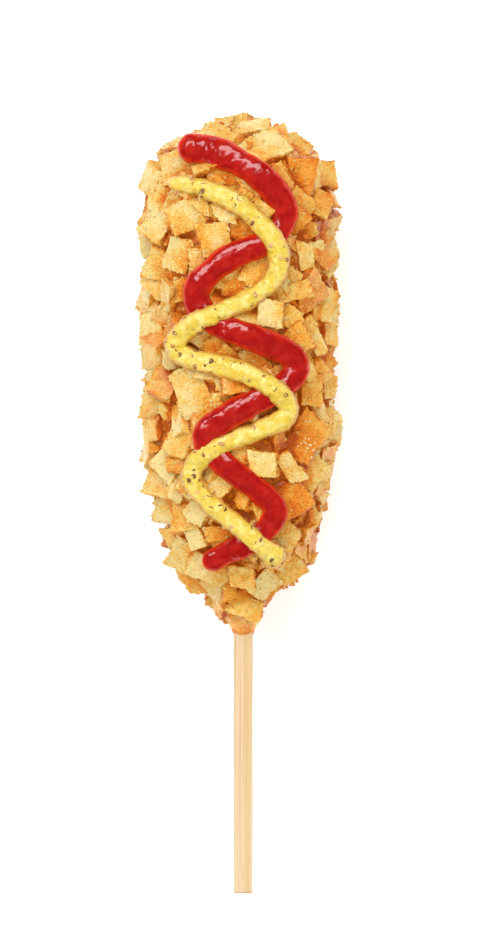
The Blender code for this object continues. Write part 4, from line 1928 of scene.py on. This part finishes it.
@dataclass
class MustardSeeds:
    """Seeds and pieces of husk that sit half in the mustard.

    Attributes:
        spacing: The least distance between two, in millimetres.
        patch: The size of the patches that they lie in, in millimetres.
        seed: Makes another scatter.
    """

    spacing: float = 1.5
    patch: float = 4.0
    seed: int = 8

    def shapes(self) -> bpy.types.Collection:
        """Five seeds and nine curved slivers of husk, each centred on the origin."""
        tray = bpy.data.collections.new("seed_shapes")
        rng = random.Random(self.seed)
        for number in range(14):
            bm = bmesh.new()
            bmesh.ops.create_icosphere(bm, subdivisions=2, radius=0.5)
            seed = number < 5
            flat = (1.35, 1.1, 0.8) if seed else (1.5, rng.uniform(0.22, 0.5), 0.4)
            turn, bend = rng.uniform(0, 9), rng.uniform(-0.7, 0.7)
            for vertex in bm.verts:
                dent = 1 + 0.35 * noise.noise(vertex.co * 2.4 + Vector((turn, 0, 0)))
                moved = Vector([c * f for c, f in zip(vertex.co, flat)]) * dent
                moved.y += bend * moved.x**2 * (not seed)
                vertex.co = moved * MM
            mesh = bpy.data.meshes.new(f"seed_{number}")
            bm.to_mesh(mesh)
            bm.free()
            mesh.shade_smooth()
            tray.objects.link(bpy.data.objects.new(mesh.name, mesh))
        return tray

    def make(self, mustard: bpy.types.Object, surface: bpy.types.Material) -> bpy.types.Object:
        """The seeds in a bead of mustard, as one object."""
        shapes = self.shapes()
        points = positions(mustard.data)
        patches = ripple(points, self.patch, self.seed) > 0.04
        # Seeds also crowd round the bead's end, darkening it there as painted shade.
        end = np.linalg.norm(points[:, :2] - MUSTARD_LINE[-1][:2], axis=1) < 3.0
        set_attribute(mustard.data, "room", patches | end)
        values = {
            "Shapes": shapes,
            "First": 0,
            "Last": 13,
            "Spacing": self.spacing * MM,
            "Lowest": -0.28 * MM,
            "Highest": -0.08 * MM,
            "Tilt": 0.2,
            "Upward": 0.0,
            "Smallest": 0.7,
            "Largest": 1.5,
            "Seed": self.seed,
            "Finish": surface,
        }
        mesh = scatter_tree("scatter_seeds").run(mustard, "mustard_seeds", values)
        for helper in list(shapes.objects):
            bpy.data.objects.remove(helper)
        return shown("mustard_seeds", mesh, surface)


# --------------------------------------------------------------------------
# Stick
# --------------------------------------------------------------------------


@dataclass
class Stick:
    """The sawn bar, with its edges worn and its end a little rough.

    Attributes:
        edge: The radius of its long edges, in millimetres.
        step: The distance between its rings.
    """

    edge: float = 0.45
    step: float = 1.5

    def make(self, surface: bpy.types.Material) -> bpy.types.Object:
        """The whole stick, where the frame has it."""
        low, high = (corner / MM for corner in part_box("stick"))
        middle, half = (low + high) / 2, (high - low) / 2
        per_side = 10
        outline = []
        for quarter in range(4):
            turn = math.pi / 2 * quarter
            for part in range(4):
                angle = turn + math.pi / 2 * part / 3
                cx = (half.x - self.edge) * math.copysign(1, math.cos(turn + 0.7))
                cz = (half.z - self.edge) * math.copysign(1, math.sin(turn + 0.7))
                outline.append(
                    (cx + self.edge * math.cos(angle), cz + self.edge * math.sin(angle))
                )
        ring_line = np.array(self._filled(outline, per_side))
        stations = [low.y, low.y + 0.12, low.y + 0.35, low.y + 0.8]
        stations += list(np.arange(low.y + 1.6, high.y - 0.5, self.step)) + [high.y]
        shrink = [0.9, 0.965, 0.99] + [1.0] * (len(stations) - 3)
        points = []
        for y, size in zip(stations, shrink):
            for x, z in ring_line:
                points.append((middle.x + x * size, y, middle.z + z * size))
        grid = np.array(points)
        sides = len(ring_line)
        lengthwise = grid * (1, 0.03, 1)
        swell = ripple(lengthwise, 0.8, 2.0, 2) * 0.05 + ripple(grid * (0.2, 1, 0.2), 30, 5.0) * 0.06
        out = grid - (middle.x, 0, middle.z)
        out[:, 1] = 0
        out /= np.linalg.norm(out, axis=1, keepdims=True)
        grid += out * swell[:, None]
        end = grid[:sides]
        end[:, 1] += ripple(end, 0.9, 3.0) * 0.15
        faces = [
            (
                ring * sides + side,
                (ring + 1) * sides + side,
                (ring + 1) * sides + (side + 1) % sides,
                ring * sides + (side + 1) % sides,
            )
            for ring in range(len(stations) - 1)
            for side in range(sides)
        ]
        faces.append([side for side in range(sides)])
        faces.append([(len(stations) - 1) * sides + side for side in reversed(range(sides))])
        mesh = mesh_from("wooden_stick", grid, faces)
        set_attribute(mesh, "rim", np.clip(1 - (grid[:, 1] - low.y) / 0.7, 0, 1))
        piece = shown("wooden_stick", mesh, surface)
        mesh.set_sharp_from_angle(angle=math.radians(50))
        return piece

    @staticmethod
    def _filled(outline: list[tuple[float, float]], parts: int) -> list[tuple[float, float]]:
        """The outline with its long straight sides cut into parts."""
        filled = []
        for here, there in zip(outline, outline[1:] + outline[:1]):
            filled.append(here)
            if math.dist(here, there) > 1.0:
                for part in range(1, parts):
                    share = part / parts
                    filled.append(
                        (
                            here[0] + (there[0] - here[0]) * share,
                            here[1] + (there[1] - here[1]) * share,
                        )
                    )
        return filled


# --------------------------------------------------------------------------
# Studio
# --------------------------------------------------------------------------


@dataclass(frozen=True)
class SoftBox:
    """A rectangular area light, aimed at the middle of the dog.

    Attributes:
        name: The light's name.
        place: Where it stands, in metres.
        wide: Its width across, in metres.
        high: Its height, in metres.
        power: Its power in watts.
        glossy: Whether wet surfaces mirror it.
    """

    name: str
    place: tuple[float, float, float]
    wide: float
    high: float
    power: float
    glossy: bool = False


@dataclass
class Studio:
    """The table, the lights and the camera over it.

    Attributes:
        view_height: How much of the table the camera sees along Y, in metres.
        distance: How far the camera is over the dog.
        level: The height at which it sees that much.
        aim: The point that it looks down on, across and along.
    """

    view_height: float = 0.2632
    distance: float = 2.4
    level: float = 0.038
    aim: tuple[float, float] = (0.0004, 0.0097)
    boxes: tuple[SoftBox, ...] = (
        SoftBox("key", (-0.2, 0.58, 0.76), 1.2, 0.36, 8.3, glossy=True),
        SoftBox("low", (0.0, -0.6, 0.7), 0.7, 0.7, 3.2),
        SoftBox("left", (-0.7, -0.05, 0.6), 0.6, 0.6, 1.0),
        SoftBox("right", (0.7, -0.1, 0.55), 0.6, 0.6, 2.0),
    )

    def make(self) -> None:
        """Builds the table, the lights, the sky and the camera."""
        self._table()
        for box in self.boxes:
            self._light(box)
        self._sky()
        self._camera()
        bpy.context.scene.view_settings.view_transform = "Standard"

    def _table(self) -> None:
        """A wide plane that the dog lies on."""
        bm = bmesh.new()
        bmesh.ops.create_grid(bm, x_segments=1, y_segments=1, size=3.0)
        mesh = bpy.data.meshes.new("table")
        bm.to_mesh(mesh)
        bm.free()
        mesh.materials.append(TableFinish().make())
        add_object("table", mesh)

    def _light(self, box: SoftBox) -> None:
        """One soft box, turned to the dog."""
        data = bpy.data.lights.new(box.name, "AREA")
        data.shape = "RECTANGLE"
        data.size = box.wide
        data.size_y = box.high
        data.energy = box.power
        light = bpy.data.objects.new(box.name, data)
        light.location = box.place
        light.visible_glossy = box.glossy
        aim = Vector((0.0, 0.03, 0.03)) - Vector(box.place)
        light.rotation_euler = aim.to_track_quat("-Z", "Y").to_euler()
        bpy.context.scene.collection.objects.link(light)

    def _sky(self) -> None:
        """Soft, slightly warm light from all round, brighter overhead, that nothing mirrors."""
        world = bpy.data.worlds.new("sky")
        world.use_nodes = True
        world.node_tree.nodes.clear()
        tree = Tree(world.node_tree)
        toward = tree.add("ShaderNodeTexCoord", {}, {}).out("Generated")
        height = tree.add("ShaderNodeSeparateXYZ", {}, {"Vector": toward}).out("Z")
        strength = height.clamped() * 0.46 + 0.2
        glow = tree.add("ShaderNodeBackground", {}, {"Color": (1.0, 0.98, 0.96, 1.0), "Strength": strength})
        tree.add("ShaderNodeOutputWorld", {}, {"Surface": glow})
        world.cycles_visibility.glossy = False
        bpy.context.scene.world = world

    def _camera(self) -> None:
        """A long lens straight over the dog, its top towards the crown."""
        data = bpy.data.cameras.new("camera")
        data.lens = data.sensor_width * self.distance / self.view_height
        data.clip_end = 10.0
        camera = bpy.data.objects.new("camera", data)
        camera.location = (*self.aim, self.level + self.distance)
        bpy.context.scene.collection.objects.link(camera)
        bpy.context.scene.camera = camera


# --------------------------------------------------------------------------
# The whole dog
# --------------------------------------------------------------------------


def main() -> None:
    """Builds the pieces in the order in which they lie on each other."""
    logging.basicConfig(level=logging.INFO, format="%(name)s %(message)s")
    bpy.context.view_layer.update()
    axis = Axis.from_frame()
    potato = PotatoFinish().make()
    coat = PotatoCoat(axis, PotatoKnife())
    potatoes, beds = coat.make(potato)
    batter = Batter(axis).make(beds, BatterFinish().make())
    ride(batter, "fried_batter", "batter")
    crumbs = crumbs_in_gaps(batter, Ground(potatoes), potato)
    grains = grains_on_pieces(potatoes, axis, potato)
    potatoes += [crumbs, grains]
    for mesh in potatoes:
        piece = shown(mesh.name, mesh, potato)
        mesh.set_sharp_from_angle(angle=math.radians(34))
        ride(piece, "fried_potato", "potato_coat")
    ground = [batter.data, *potatoes]
    ride(Salt().make(Ground(ground), SaltFinish().make()), "fried_potato")
    ketchup = SauceBead("ketchup_bead", KETCHUP_LINE, 0.66, 2.6, 0.8, 0.2, 0.12, seed=2)
    ketchup_piece = ketchup.make(Ground(ground), KetchupFinish().make())
    ride(ketchup_piece, "ketchup", "ketchup")
    mustard = SauceBead("mustard_bead", MUSTARD_LINE, 0.8, 3.0, 0.9, 0.5, 0.16, seed=6)
    mustard_piece = mustard.make(Ground([*ground, ketchup_piece.data]), MustardFinish().make())
    ride(mustard_piece, "grain_mustard", "mustard")
    seeds = MustardSeeds().make(mustard_piece, SeedFinish().make())
    ride(seeds, "grain_mustard")
    ride(Stick().make(WoodFinish().make()), "stick_wood", "stick")
    Studio().make()


if __name__ == "__main__":
    main()
